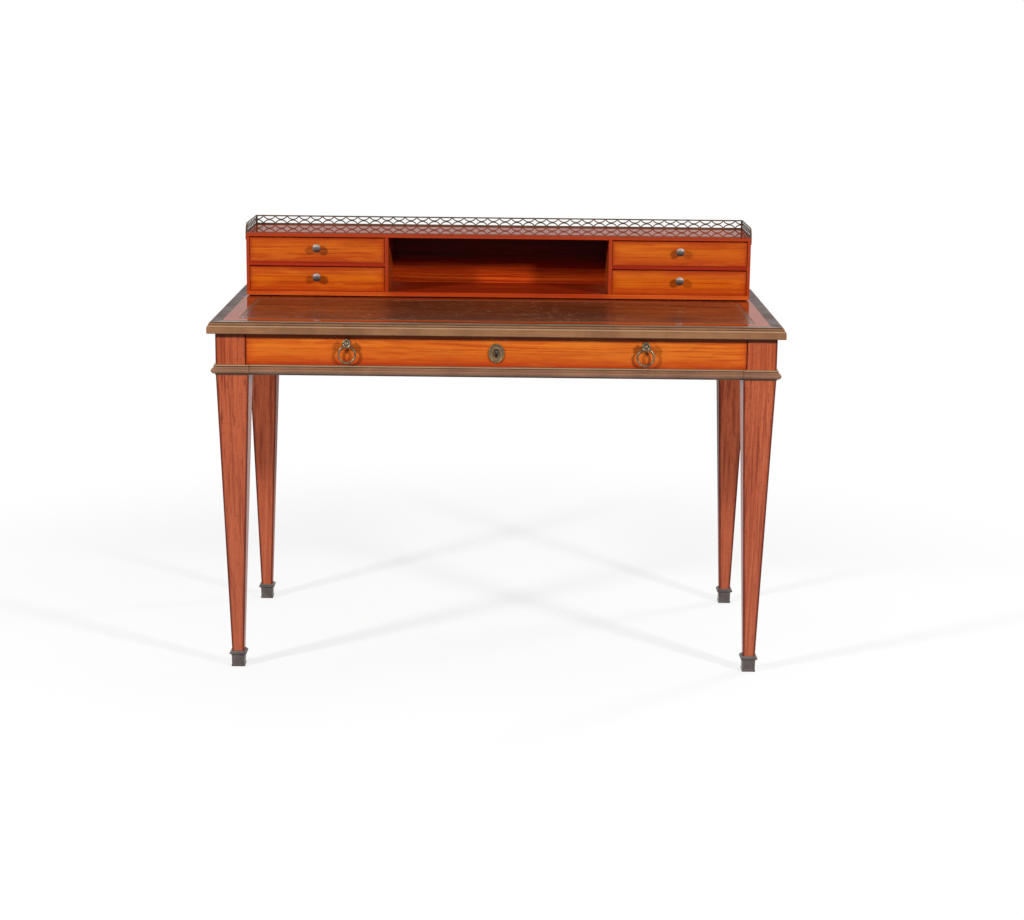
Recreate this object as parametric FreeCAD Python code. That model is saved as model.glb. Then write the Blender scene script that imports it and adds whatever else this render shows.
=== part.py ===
import FreeCAD, Part
import math
import os

# Stepped writing desk: a tapered-leg table with a frieze drawer, a leather-lined
# top bound in brass, and a low stepped superstructure with four small drawers,
# an open compartment and a pierced brass gallery.
# Millimetres, +Z up, the front faces -Y, the origin is on the floor below the middle.

# Top
TOP_WIDTH = 1200.0            # over the brass nosing
TOP_DEPTH = 646.0             # over the brass nosing
WRITING_HEIGHT = 752.0        # floor to the top's flat surface
TOP_THICKNESS = 24.0
NOSING = 8.0                  # brass beyond the panel's edge
BAND_WIDTH = 21.0             # flat brass band let into the panel's rim
BAND_THICKNESS = 3.0
BAND_GAP = 0.4                # joint line between the band and the veneer
WOOD_BORDER = 30.0            # veneer between the brass band and the leather
LEATHER_THICKNESS = 1.5
LEATHER_GAP = 0.3             # joint line round the leather

# Legs and feet
OVERHANG = 16.0               # nosing beyond the outer faces of the legs
LEG_SIZE = 69.0               # square post at the frieze
LEG_FOOT = 25.4               # square leg where it meets the brass foot
LEG_STUB = 20.0               # square end inside the brass foot
FOOT_HEIGHT = 35.0
FOOT_PLINTH = 4.5             # upright base of the brass foot
FOOT_FLOOR = 4.0              # brass under the end of the leg
FOOT_BODY = 28.4              # square body of the brass foot
FOOT_COLLAR = 36.4            # square collar of the brass foot
FOOT_CLEARANCE = 0.2

# Frieze
FRIEZE_HEIGHT = 88.0
FRIEZE_SETBACK = 3.0          # rails and drawer front behind the faces of the legs
RAIL_THICKNESS = 22.0
DRAWER_RAIL_HEIGHT = 22.0     # front rail below the drawer, and the moulding on it
DRAWER_RAIL_DEPTH = 40.0
MOULDING_PROJECTION = 9.6
TENON_LENGTH = 25.0
TENON_THICKNESS = 8.0
TENON_SHOULDER = 6.0          # above and below a tenon
TENON_CLEARANCE = 0.2
RUNNER_WIDTH = 28.0           # bearing strip under each side of the drawer
GUIDE_HEIGHT = 26.0

# Frieze drawer
DRAWER_LAP = 6.4              # drawer front over each leg's post
DRAWER_GAP = 1.4              # round the drawer front
DRAWER_CLEARANCE = 0.3        # under the drawer and behind its front
DRAWER_FRONT_THICKNESS = 20.0
DRAWER_DEPTH = 480.0
DRAWER_SIDE_THICKNESS = 10.0
DRAWER_SIDE_GAP = 1.5         # between a side and its guide
DRAWER_SIDE_DROP = 3.0        # sides below the top of the front
DRAWER_BOTTOM_THICKNESS = 6.0
DRAWER_BOTTOM_LIFT = 8.0      # groove above the lower edge
DRAWER_BACK_INSET = 12.0      # back board inside the ends of the sides
GROOVE_DEPTH = 4.0
TONGUE_LENGTH = 7.0           # dovetailed end of a side, in the front
TONGUE_NECK = 5.2
TONGUE_TIP = 7.6
TONGUE_STOP = 6.0             # below the top of the side
DOVETAIL_CLEARANCE = 0.1

# Ring pulls
PULL_SPACING = 621.0
PULL_HEIGHT = 47.5            # axis of the boss above the drawer's lower edge
RING_DIAMETER = 39.0
RING_WIRE = 4.3
BOSS_DIAMETER = 18.5
BOSS_PROJECTION = 18.5
BOSS_HEAD = 4.5               # thickness of the boss's head
BOSS_FINIAL = 5.0             # small ball on the boss's head
BOSS_SHANK = 8.0
BOSS_STUD = 6.0               # stud through the drawer front
EYE_DROP = 6.5                # eye below the boss's axis
EYE_OFFSET = 9.0              # eye in front of the drawer
EYE_LENGTH = 7.0
EYE_WALL = 2.0
RING_CLEARANCE = 0.3
STUD_CLEARANCE = 0.1
STUD_TAIL = 3.0               # stud beyond the back of a front

# Lock
ESCUTCHEON_WIDTH = 33.5
ESCUTCHEON_HEIGHT = 41.5
ESCUTCHEON_PLATE = 1.4
ESCUTCHEON_RIM = 2.6          # width of the raised rim
ESCUTCHEON_SLOPE = 2.2        # width of the slope inside the rim
ESCUTCHEON_RELIEF = 1.8       # rim above the plate
KEYHOLE_LIFT = 32.4           # round of the keyhole above the drawer's lower edge
KEYHOLE_RADIUS = 4.4
KEYHOLE_SLOT = 5.0
KEYHOLE_DROP = 12.0           # slot below the round's axis
LOCK_PIN = 3.4
LOCK_WIDTH = 56.0
LOCK_HEIGHT = 47.0
LOCK_DEPTH = 11.0             # case let into the drawer front
LOCK_WALL = 1.5
LOCK_PLATE_WIDTH = 82.0
LOCK_PLATE = 2.0
BOLT_WIDTH = 28.0
BOLT_THICKNESS = 6.0
BOLT_LENGTH = 26.0
BOLT_THROW = 8.0
BOLT_CLEARANCE = 0.3
KEEPER_WIDTH = 50.0
KEEPER_DEPTH = 18.0
KEEPER_PLATE = 1.5
SCREW_SHANK = 3.0
SCREW_HEAD = 6.0
SCREW_HEAD_HEIGHT = 1.2
SCREW_LENGTH = 12.0
SCREW_INSET = 6.0             # screws from the ends of the lock plate

# Superstructure
GRADIN_INSET = 4.8            # carcase inside the brass band, at the sides
GRADIN_DEPTH = 202.0
GRADIN_HEIGHT = 143.0
GRADIN_BOARD = 8.0
GRADIN_BASE = 9.6
GRADIN_SIDE = 7.0
HOUSING_DEPTH = 3.0           # boards let into each other
HOUSING_STOP = 12.0           # housings end behind the front edge
HOUSING_SHOULDER = 1.5        # each side of an end tongue
PLINTH_HEIGHT = 3.0
PLINTH_RECESS = 12.0
COMPARTMENT_WIDTH = 495.0

# Small drawers
SMALL_GAP = 1.0               # each side of a small drawer
SMALL_TOP_GAP = 2.4
SMALL_CLEARANCE = 0.3
SMALL_RECESS = 1.0            # fronts behind the carcase's front edge
SMALL_FRONT = 10.0
SMALL_DEPTH = 182.0
SMALL_SIDE = 5.0
SMALL_SIDE_DROP = 2.0
SMALL_BOTTOM = 3.0
SMALL_BOTTOM_LIFT = 4.0
SMALL_GROOVE = 2.0
SMALL_BACK_INSET = 4.0        # back board inside the ends of the sides
TAILS = 3                     # dovetails on the front end of each side
TAIL_LENGTH = 7.0
TAIL_SHARE = 0.66             # width of a tail's neck in its share of the height
TAIL_SLOPE = 1.0 / 6.0
KNOB_DIAMETER = 19.0
KNOB_PROJECTION = 17.0
KNOB_NECK = 7.0
KNOB_FOOT = 11.0
KNOB_STUD = 4.0
KNOB_RISE = 5.5               # above the middle of the drawer front

# Gallery
GALLERY_HEIGHT = 21.0         # above the superstructure's top
GALLERY_FASCIA = 15.0         # solid strip over the edge of the top
GALLERY_THICKNESS = 1.2
GALLERY_PITCH = 27.5
GALLERY_RAIL = 3.0
GALLERY_BAR = 2.6             # width of the curved bars
GALLERY_WAIST = 1.6           # between the centre lines of facing arches
GALLERY_POST = 4.0            # solid end of a pierced strip
GALLERY_SWEEP = 24.0          # length of the curved front end

# Derived places
HALF_WIDTH = TOP_WIDTH / 2
HALF_DEPTH = TOP_DEPTH / 2
TOP_UNDERSIDE = WRITING_HEIGHT - TOP_THICKNESS
PANEL_X = HALF_WIDTH - NOSING
PANEL_Y = HALF_DEPTH - NOSING
BAND_X = PANEL_X - BAND_WIDTH
BAND_Y = PANEL_Y - BAND_WIDTH
LEG_X = HALF_WIDTH - OVERHANG
LEG_Y = HALF_DEPTH - OVERHANG
POST_X = LEG_X - LEG_SIZE
POST_Y = LEG_Y - LEG_SIZE
FRIEZE_BOTTOM = TOP_UNDERSIDE - FRIEZE_HEIGHT
FRIEZE_X = LEG_X - FRIEZE_SETBACK
FRIEZE_Y = LEG_Y - FRIEZE_SETBACK
RAIL_TOP = FRIEZE_BOTTOM + DRAWER_RAIL_HEIGHT
RAIL_INNER_X = FRIEZE_X - RAIL_THICKNESS
RAIL_INNER_Y = FRIEZE_Y - RAIL_THICKNESS
DRAWER_X = POST_X + DRAWER_LAP
DRAWER_FACE = -FRIEZE_Y
DRAWER_INNER = DRAWER_FACE + DRAWER_FRONT_THICKNESS
DRAWER_END = DRAWER_FACE + DRAWER_DEPTH
DRAWER_LOW = RAIL_TOP + DRAWER_CLEARANCE
DRAWER_HIGH = TOP_UNDERSIDE - DRAWER_GAP
SIDE_OUTER = POST_X - DRAWER_SIDE_GAP
SIDE_INNER = SIDE_OUTER - DRAWER_SIDE_THICKNESS
SIDE_HIGH = DRAWER_HIGH - DRAWER_SIDE_DROP
PULL_Z = DRAWER_LOW + PULL_HEIGHT
EYE_Z = PULL_Z - EYE_DROP
EYE_Y = DRAWER_FACE - EYE_OFFSET
RING_RADIUS = (RING_DIAMETER - RING_WIRE) / 2
RING_SAG = RING_RADIUS - math.sqrt(RING_RADIUS ** 2 - (EYE_LENGTH / 2) ** 2)
EYE_RADIUS = RING_WIRE / 2 + RING_SAG + RING_CLEARANCE
KEYHOLE_Z = DRAWER_LOW + KEYHOLE_LIFT
LOCK_LOW = DRAWER_HIGH - LOCK_HEIGHT
LOCK_FRONT = DRAWER_INNER - LOCK_DEPTH
BOLT_Y = LOCK_FRONT + LOCK_WALL + BOLT_CLEARANCE
GRADIN_X = BAND_X - GRADIN_INSET
GRADIN_BACK = BAND_Y - GALLERY_THICKNESS
GRADIN_FRONT = GRADIN_BACK - GRADIN_DEPTH
GRADIN_FLOOR = WRITING_HEIGHT + PLINTH_HEIGHT + GRADIN_BASE
GRADIN_TOP = WRITING_HEIGHT + GRADIN_HEIGHT
GRADIN_CEILING = GRADIN_TOP - GRADIN_BOARD
GRADIN_INNER_X = GRADIN_X - GRADIN_SIDE
GRADIN_INNER_Y = GRADIN_BACK - GRADIN_BOARD
HOUSING_FRONT = GRADIN_FRONT + HOUSING_STOP
HOUSING_BACK = GRADIN_BACK - HOUSING_STOP
PARTITION_INNER = COMPARTMENT_WIDTH / 2
PARTITION_OUTER = PARTITION_INNER + GRADIN_BOARD
OPENING_HEIGHT = (GRADIN_CEILING - GRADIN_FLOOR - GRADIN_BOARD) / 2
UPPER_FLOOR = GRADIN_FLOOR + OPENING_HEIGHT + GRADIN_BOARD
SMALL_FACE = GRADIN_FRONT + SMALL_RECESS
SMALL_INNER = SMALL_FACE + SMALL_FRONT
SMALL_END = SMALL_FACE + SMALL_DEPTH
LEATHER_X = BAND_X - WOOD_BORDER
LEATHER_FRONT = -(BAND_Y - WOOD_BORDER)
LEATHER_BACK = GRADIN_FRONT - WOOD_BORDER

V = FreeCAD.Vector
ORIGIN = V(0, 0, 0)
X_AXIS = V(1, 0, 0)
Y_AXIS = V(0, 1, 0)
Z_AXIS = V(0, 0, 1)
LEFT, RIGHT = -1, 1
FRONT, BACK = -1, 1


def block(x0, x1, y0, y1, z0, z1):
    return Part.makeBox(x1 - x0, y1 - y0, z1 - z0, V(x0, y0, z0))


def rod(radius, start, direction, length):
    return Part.makeCylinder(radius, length, start, direction)


def mirrored(shape, side, end=FRONT):
    """A shape drawn at the left front, moved to its side and end."""
    if side == RIGHT:
        shape = shape.mirror(ORIGIN, X_AXIS)
    if end == BACK:
        shape = shape.mirror(ORIGIN, Y_AXIS)
    return shape


def outline(start, steps, place):
    """Closed wire: each step is a point for a line, or (through, end) for an arc."""
    edges = []
    here = start
    for step in steps:
        if isinstance(step[0], tuple):
            through, there = step
            edges.append(Part.Arc(place(here), place(through), place(there)).toShape())
        else:
            there = step
            edges.append(Part.makeLine(place(here), place(there)))
        here = there
    edges.append(Part.makeLine(place(here), place(start)))
    return Part.Wire(edges)


def cap(radius, rim, middle):
    """Arc step from a rim at a radius to the axis: a dome, or a dish where middle is lower."""
    rise = middle - rim
    ball = (radius ** 2 + rise ** 2) / (2 * abs(rise))
    angle = math.asin(radius / ball) / 2
    through = middle - math.copysign(ball * (1 - math.cos(angle)), rise)
    return (ball * math.sin(angle), through), (0.0, middle)


def turned(start, steps, base, axis):
    """Solid of revolution from a (radius, height) outline about an axis at base."""
    wire = outline(start, steps, lambda p: V(p[0], 0, p[1]))
    solid = Part.Face(wire).revolve(ORIGIN, Z_AXIS, 360)
    solid.Placement = FreeCAD.Placement(base, FreeCAD.Rotation(Z_AXIS, axis))
    return solid


def moulding(start, steps, length, low, high, mitre_left, mitre_right):
    """Straight length along X of an (out, up) profile; outward is -Y.

    low and high are the least and greatest reach outward. A mitred end grows with
    the reach, so that two lengths meet at an outer corner.
    """
    span = length / 2 + high
    wire = outline(start, steps, lambda p: V(-span, -p[0], p[1]))
    bar = Part.Face(wire).extrude(V(2 * span, 0, 0))
    left_far = length / 2 + (high if mitre_left else 0)
    left_near = length / 2 + (low if mitre_left else 0)
    right_far = length / 2 + (high if mitre_right else 0)
    right_near = length / 2 + (low if mitre_right else 0)
    corners = [V(-left_far, -high, 0), V(right_far, -high, 0), V(right_near, -low, 0), V(-left_near, -low, 0)]
    plan = Part.Face(Part.makePolygon(corners + corners[:1]))
    box = bar.BoundBox
    plan.translate(V(0, 0, box.ZMin))
    return bar.common(plan.extrude(V(0, 0, box.ZLength)))


def turned_to(shape, angle, place):
    """A length drawn facing -Y, turned about Z and set with its middle at place."""
    shape = shape.copy()
    shape.rotate(ORIGIN, Z_AXIS, angle)
    shape.translate(place)
    return shape


def tenon(x0, x1, y0, y1, grow=0.0):
    """Tenon on a frieze rail, or its mortise when grown by the clearance."""
    low = FRIEZE_BOTTOM + TENON_SHOULDER - grow
    high = TOP_UNDERSIDE - TENON_SHOULDER + grow
    return block(x0 - grow, x1 + grow, y0 - grow, y1 + grow, low, high)


def side_tenons(grow=0.0):
    """Tenons of the left rail, at the front and the back."""
    middle = -(FRIEZE_X - RAIL_THICKNESS / 2)
    half = TENON_THICKNESS / 2
    reach = POST_Y + TENON_LENGTH
    front = tenon(middle - half, middle + half, -reach, -POST_Y, grow)
    back = tenon(middle - half, middle + half, POST_Y, reach, grow)
    return front.fuse(back)


def back_tenons(grow=0.0):
    middle = FRIEZE_Y - RAIL_THICKNESS / 2
    half = TENON_THICKNESS / 2
    reach = POST_X + TENON_LENGTH
    left = tenon(-reach, -POST_X, middle - half, middle + half, grow)
    right = tenon(POST_X, reach, middle - half, middle + half, grow)
    return left.fuse(right)


def drawer_rail_tenons(grow=0.0):
    middle = -FRIEZE_Y + DRAWER_RAIL_DEPTH / 2
    half = TENON_THICKNESS / 2
    reach = POST_X + TENON_LENGTH
    low = FRIEZE_BOTTOM + TENON_SHOULDER - grow
    high = RAIL_TOP - TENON_SHOULDER + grow
    near, far = middle - half - grow, middle + half + grow
    left = block(-reach - grow, -POST_X + grow, near, far, low, high)
    right = block(POST_X - grow, reach + grow, near, far, low, high)
    return left.fuse(right)


def square_at(size, z):
    """Square wire on the axis of the left front leg."""
    x = -(LEG_X - LEG_SIZE / 2)
    y = -(LEG_Y - LEG_SIZE / 2)
    half = size / 2
    corners = [V(x - half, y - half, z), V(x + half, y - half, z)]
    corners += [V(x + half, y + half, z), V(x - half, y + half, z)]
    return Part.makePolygon(corners + corners[:1])


def leg(side, end):
    """Square post with a tapered leg below it, mortised for the rails."""
    post = block(-LEG_X, -POST_X, -LEG_Y, -POST_Y, FRIEZE_BOTTOM, TOP_UNDERSIDE)
    taper = Part.makeLoft([square_at(LEG_SIZE, FRIEZE_BOTTOM), square_at(LEG_FOOT, FOOT_HEIGHT)], True, True)
    stub = Part.Face(square_at(LEG_STUB, FOOT_FLOOR)).extrude(V(0, 0, FOOT_HEIGHT - FOOT_FLOOR))
    body = mirrored(post.fuse([taper, stub]).removeSplitter(), side, end)
    body = body.cut(mirrored(side_tenons(TENON_CLEARANCE), side))
    if end == BACK:
        return body.cut(back_tenons(TENON_CLEARANCE))
    body = body.cut(drawer_rail_tenons(TENON_CLEARANCE))
    lap_end = DRAWER_INNER + DRAWER_CLEARANCE
    lap = block(-DRAWER_X - DRAWER_GAP, -POST_X, -LEG_Y, lap_end, RAIL_TOP, TOP_UNDERSIDE)
    return body.cut(mirrored(lap, side))


def foot(side, end):
    """Cast square shoe with a moulded collar, hollow for the end of the leg."""
    body = FOOT_BODY / 2
    collar = FOOT_COLLAR / 2
    waist = body - 0.8
    shoulder = (body + collar) / 2
    top = FOOT_HEIGHT
    steps = [
        (body, 0.0),
        (body, FOOT_PLINTH),
        (waist, FOOT_PLINTH + 1.0),
        (waist + 0.5, top - 10.0),
        ((shoulder - 1.0, top - 8.0), (collar - 0.4, top - 6.6)),
        (collar, top - 6.2),
        (collar, top - 4.2),
        (collar - 0.8, top - 3.6),
        ((shoulder - 0.4, top - 2.2), (body + 0.6, top)),
        (0.0, top),
    ]
    profile = Part.Face(outline((0.0, 0.0), steps, lambda p: V(p[0], -collar, p[1])))
    half = profile.extrude(V(0, 2 * collar, 0))
    along = half.fuse(half.mirror(ORIGIN, X_AXIS)).removeSplitter()
    across = along.copy()
    across.rotate(ORIGIN, Z_AXIS, 90)
    socket = LEG_STUB / 2 + FOOT_CLEARANCE
    shoe = along.common(across).cut(block(-socket, socket, -socket, socket, FOOT_FLOOR, FOOT_HEIGHT))
    shoe.translate(V(-(LEG_X - LEG_SIZE / 2), -(LEG_Y - LEG_SIZE / 2), 0))
    return mirrored(shoe, side, end)


def side_rail(side):
    body = block(-FRIEZE_X, -RAIL_INNER_X, -POST_Y, POST_Y, FRIEZE_BOTTOM, TOP_UNDERSIDE)
    return mirrored(body.fuse(side_tenons()).removeSplitter(), side)


def back_rail():
    body = block(-POST_X, POST_X, RAIL_INNER_Y, FRIEZE_Y, FRIEZE_BOTTOM, TOP_UNDERSIDE)
    return body.fuse(back_tenons()).removeSplitter()


def drawer_rail():
    back = -FRIEZE_Y + DRAWER_RAIL_DEPTH
    body = block(-POST_X, POST_X, -FRIEZE_Y, back, FRIEZE_BOTTOM, RAIL_TOP)
    return body.fuse(drawer_rail_tenons()).removeSplitter()


def drawer_runners():
    """A bearing strip below and a guide beside each side of the frieze drawer."""
    inner = POST_X - RUNNER_WIDTH
    front = -FRIEZE_Y + DRAWER_RAIL_DEPTH
    bearing = block(-POST_X, -inner, front, RAIL_INNER_Y, FRIEZE_BOTTOM, RAIL_TOP)
    guide = block(-RAIL_INNER_X, -POST_X, -POST_Y, POST_Y, FRIEZE_BOTTOM, RAIL_TOP + GUIDE_HEIGHT)
    runner = bearing.fuse(guide).removeSplitter()
    return Part.makeCompound([runner, mirrored(runner, RIGHT)])


def frieze_profile():
    """Fillet, ovolo, sloping face, quirk and bead, from the lower edge up."""
    tip = MOULDING_PROJECTION
    high = DRAWER_RAIL_HEIGHT
    steps = [
        (0.14 * tip, 0.0),
        (0.14 * tip, 0.10 * high),
        (0.24 * tip, 0.11 * high),
        ((0.72 * tip, 0.22 * high), (0.97 * tip, 0.46 * high)),
        ((tip, 0.50 * high), (0.97 * tip, 0.54 * high)),
        ((0.60 * tip, 0.66 * high), (0.36 * tip, 0.80 * high)),
        (0.18 * tip, 0.80 * high),
        (0.18 * tip, 0.83 * high),
        ((0.42 * tip, 0.90 * high), (0.22 * tip, 0.98 * high)),
        (0.16 * tip, high),
        (0.0, high),
    ]
    return (0.0, 0.0), steps


def frieze_moulding(length, mitre_left=False, mitre_right=False):
    start, steps = frieze_profile()
    return moulding(start, steps, length, 0.0, MOULDING_PROJECTION, mitre_left, mitre_right)


def frieze_mouldings():
    across = frieze_moulding(2 * POST_X)
    along = frieze_moulding(2 * POST_Y)
    return {
        "frieze_moulding_front": turned_to(across, 0, V(0, -FRIEZE_Y, FRIEZE_BOTTOM)),
        "frieze_moulding_right": turned_to(along, 90, V(FRIEZE_X, 0, FRIEZE_BOTTOM)),
        "frieze_moulding_back": turned_to(across, 180, V(0, FRIEZE_Y, FRIEZE_BOTTOM)),
        "frieze_moulding_left": turned_to(along, 270, V(-FRIEZE_X, 0, FRIEZE_BOTTOM)),
    }


def leg_mouldings():
    """The frieze moulding carried round the two outer faces of each leg."""
    middle_x = (LEG_X + POST_X) / 2
    middle_y = (LEG_Y + POST_Y) / 2
    face = turned_to(frieze_moulding(LEG_SIZE, mitre_left=True), 0, V(-middle_x, -LEG_Y, FRIEZE_BOTTOM))
    flank = turned_to(frieze_moulding(LEG_SIZE, mitre_right=True), 270, V(-LEG_X, -middle_y, FRIEZE_BOTTOM))
    corner = face.fuse(flank).removeSplitter()
    return Part.makeCompound([mirrored(corner, side, end) for side in (LEFT, RIGHT) for end in (FRONT, BACK)])


def top_panel():
    """Veneered panel, rebated for the brass, sunk for the leather, mortised for the bolt."""
    panel = block(-PANEL_X, PANEL_X, -PANEL_Y, PANEL_Y, TOP_UNDERSIDE, WRITING_HEIGHT)
    seat = WRITING_HEIGHT - BAND_THICKNESS
    rim = block(-PANEL_X, PANEL_X, -PANEL_Y, PANEL_Y, seat, WRITING_HEIGHT)
    x = BAND_X - BAND_GAP
    y = BAND_Y - BAND_GAP
    panel = panel.cut(rim.cut(block(-x, x, -y, y, seat, WRITING_HEIGHT)))
    bed = WRITING_HEIGHT - LEATHER_THICKNESS
    x = LEATHER_X + LEATHER_GAP
    front = LEATHER_FRONT - LEATHER_GAP
    panel = panel.cut(block(-x, x, front, LEATHER_BACK + LEATHER_GAP, bed, WRITING_HEIGHT))
    near = keeper_front()
    panel = panel.cut(block(-KEEPER_WIDTH / 2, KEEPER_WIDTH / 2, near, near + KEEPER_DEPTH,
                            TOP_UNDERSIDE, TOP_UNDERSIDE + KEEPER_PLATE))
    return panel.cut(bolt_way(TOP_UNDERSIDE, DRAWER_HIGH + BOLT_THROW + BOLT_CLEARANCE, 2 * BOLT_CLEARANCE))


def top_profile():
    """Flat band, quirk, bead, quirk, ovolo and fascia of the brass edge; up from the underside."""
    high = TOP_THICKNESS
    nose = NOSING
    steps = [
        (0.0, high),
        (0.0, high - 0.5),
        (-0.10 * nose, high - 0.9),
        (-0.10 * nose, high - 1.5),
        (0.12 * nose, high - 1.5),
        ((0.48 * nose, high - 2.6), (0.52 * nose, high - 5.2)),
        (0.36 * nose, high - 5.6),
        (0.36 * nose, high - 6.4),
        (0.60 * nose, high - 6.4),
        ((0.86 * nose, high - 8.2), (0.92 * nose, 0.54 * high)),
        (0.92 * nose, 0.525 * high),
        (nose, 0.51 * high),
        (nose, 1.0),
        (nose - 1.0, 0.0),
        (0.0, 0.0),
        (0.0, high - BAND_THICKNESS),
        (-BAND_WIDTH, high - BAND_THICKNESS),
    ]
    return (-BAND_WIDTH, high), steps


def top_mouldings():
    start, steps = top_profile()
    across = moulding(start, steps, 2 * PANEL_X, -BAND_WIDTH, NOSING, True, True)
    along = moulding(start, steps, 2 * PANEL_Y, -BAND_WIDTH, NOSING, True, True)
    return {
        "top_moulding_front": turned_to(across, 0, V(0, -PANEL_Y, TOP_UNDERSIDE)),
        "top_moulding_right": turned_to(along, 90, V(PANEL_X, 0, TOP_UNDERSIDE)),
        "top_moulding_back": turned_to(across, 180, V(0, PANEL_Y, TOP_UNDERSIDE)),
        "top_moulding_left": turned_to(along, 270, V(-PANEL_X, 0, TOP_UNDERSIDE)),
    }


def leather_top():
    bed = WRITING_HEIGHT - LEATHER_THICKNESS
    return block(-LEATHER_X, LEATHER_X, LEATHER_FRONT, LEATHER_BACK, bed, WRITING_HEIGHT)


def keyhole(y0, y1):
    """Round with a round-ended slot below it, cut through from y0 to y1."""
    half = KEYHOLE_SLOT / 2
    low = KEYHOLE_Z - KEYHOLE_DROP + half
    hole = rod(KEYHOLE_RADIUS, V(0, y0, KEYHOLE_Z), Y_AXIS, y1 - y0)
    slot = block(-half, half, y0, y1, low, KEYHOLE_Z)
    return hole.fuse([slot, rod(half, V(0, y0, low), Y_AXIS, y1 - y0)]).removeSplitter()


def lock_screw_places():
    x = LOCK_PLATE_WIDTH / 2 - SCREW_INSET
    return [(sx * x, z) for sx in (LEFT, RIGHT) for z in (LOCK_LOW + SCREW_INSET, DRAWER_HIGH - SCREW_INSET)]


def pull_places():
    return [LEFT * PULL_SPACING / 2, RIGHT * PULL_SPACING / 2]


def drawer_groove(x0, x1, y0, y1):
    low = DRAWER_LOW + DRAWER_BOTTOM_LIFT
    return block(x0, x1, y0, y1, low, low + DRAWER_BOTTOM_THICKNESS)


def side_tongue(grow=0.0):
    """Dovetailed end of the left side, slid up into the front; its groove when grown."""
    x = -(SIDE_OUTER + SIDE_INNER) / 2
    neck = TONGUE_NECK / 2 + grow
    tip = TONGUE_TIP / 2 + grow
    end = DRAWER_INNER - TONGUE_LENGTH - grow
    low = DRAWER_LOW
    corners = [V(x - neck, DRAWER_INNER, low), V(x - tip, end, low)]
    corners += [V(x + tip, end, low), V(x + neck, DRAWER_INNER, low)]
    plan = Part.Face(Part.makePolygon(corners + corners[:1]))
    return plan.extrude(V(0, 0, SIDE_HIGH - TONGUE_STOP + grow - low))


def drawer_front():
    body = block(-DRAWER_X, DRAWER_X, DRAWER_FACE, DRAWER_INNER, DRAWER_LOW, DRAWER_HIGH)
    for side in (LEFT, RIGHT):
        body = body.cut(mirrored(side_tongue(DOVETAIL_CLEARANCE), side))
    body = body.cut(drawer_groove(-SIDE_INNER, SIDE_INNER, DRAWER_INNER - GROOVE_DEPTH, DRAWER_INNER))
    half = LOCK_WIDTH / 2
    body = body.cut(block(-half, half, LOCK_FRONT, DRAWER_INNER, LOCK_LOW, DRAWER_HIGH))
    body = body.cut(keyhole(DRAWER_FACE, LOCK_FRONT))
    radius = BOSS_STUD / 2 + STUD_CLEARANCE
    for x in pull_places():
        body = body.cut(rod(radius, V(x, DRAWER_FACE, PULL_Z), Y_AXIS, DRAWER_FRONT_THICKNESS))
    depth = SCREW_LENGTH - LOCK_PLATE
    for x, z in lock_screw_places():
        body = body.cut(rod(SCREW_SHANK / 2, V(x, DRAWER_INNER - depth, z), Y_AXIS, depth))
    return body


def drawer_side(side):
    body = block(-SIDE_OUTER, -SIDE_INNER, DRAWER_INNER, DRAWER_END, DRAWER_LOW, SIDE_HIGH)
    body = body.cut(drawer_groove(-SIDE_INNER - GROOVE_DEPTH, -SIDE_INNER, DRAWER_INNER, DRAWER_END))
    body = body.cut(drawer_back())
    return mirrored(body.fuse(side_tongue()).removeSplitter(), side)


def drawer_back():
    """Back board above the bottom, its ends housed in the sides."""
    low = DRAWER_LOW + DRAWER_BOTTOM_LIFT + DRAWER_BOTTOM_THICKNESS
    x = SIDE_INNER + GROOVE_DEPTH
    far = DRAWER_END - DRAWER_BACK_INSET
    return block(-x, x, far - DRAWER_SIDE_THICKNESS, far, low, SIDE_HIGH)


def drawer_bottom():
    """Bottom board slid in from the back, its edges in the grooves."""
    middle = drawer_groove(-SIDE_INNER, SIDE_INNER, DRAWER_INNER - GROOVE_DEPTH, DRAWER_END)
    edges = drawer_groove(-SIDE_INNER - GROOVE_DEPTH, SIDE_INNER + GROOVE_DEPTH, DRAWER_INNER, DRAWER_END)
    return middle.fuse(edges).removeSplitter()


def pull_boss(x):
    """Turned boss with a button in its dished head, a finial, and an eye for the ring."""
    head = BOSS_DIAMETER / 2
    shank = BOSS_SHANK / 2
    back = BOSS_PROJECTION - BOSS_HEAD
    face = BOSS_PROJECTION
    steps = [
        (shank * 2, 0.0),
        (shank * 2, 1.0),
        ((shank * 1.3, 1.8), (shank, 4.0)),
        (shank, back),
        (head - 1.5, back),
        ((head, back + 0.5 * BOSS_HEAD), (head - 1.5, face - 0.4)),
        ((head - 3.2, face - 1.0), (head - 4.4, face - 2.4)),
        cap(head - 4.4, face - 2.4, face - 0.2),
    ]
    boss = turned((0.0, 0.0), steps, V(x, DRAWER_FACE, PULL_Z), V(0, -1, 0))
    ball = BOSS_FINIAL / 2
    middle = DRAWER_FACE - BOSS_PROJECTION + BOSS_HEAD / 2
    boss = boss.fuse(Part.makeSphere(ball, V(x, middle, PULL_Z + head - 0.2 * ball)))
    outer = EYE_RADIUS + EYE_WALL
    half = EYE_LENGTH / 2
    eye = rod(outer, V(x - half, EYE_Y, EYE_Z), X_AXIS, EYE_LENGTH)
    eye = eye.fuse(block(x - half, x + half, EYE_Y - outer, EYE_Y + outer, EYE_Z, PULL_Z))
    boss = boss.fuse(eye).cut(rod(EYE_RADIUS, V(x - EYE_LENGTH, EYE_Y, EYE_Z), X_AXIS, 2 * EYE_LENGTH))
    stud = rod(BOSS_STUD / 2, V(x, DRAWER_FACE, PULL_Z), Y_AXIS, DRAWER_FRONT_THICKNESS + STUD_TAIL)
    return boss.fuse(stud).removeSplitter()


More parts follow.
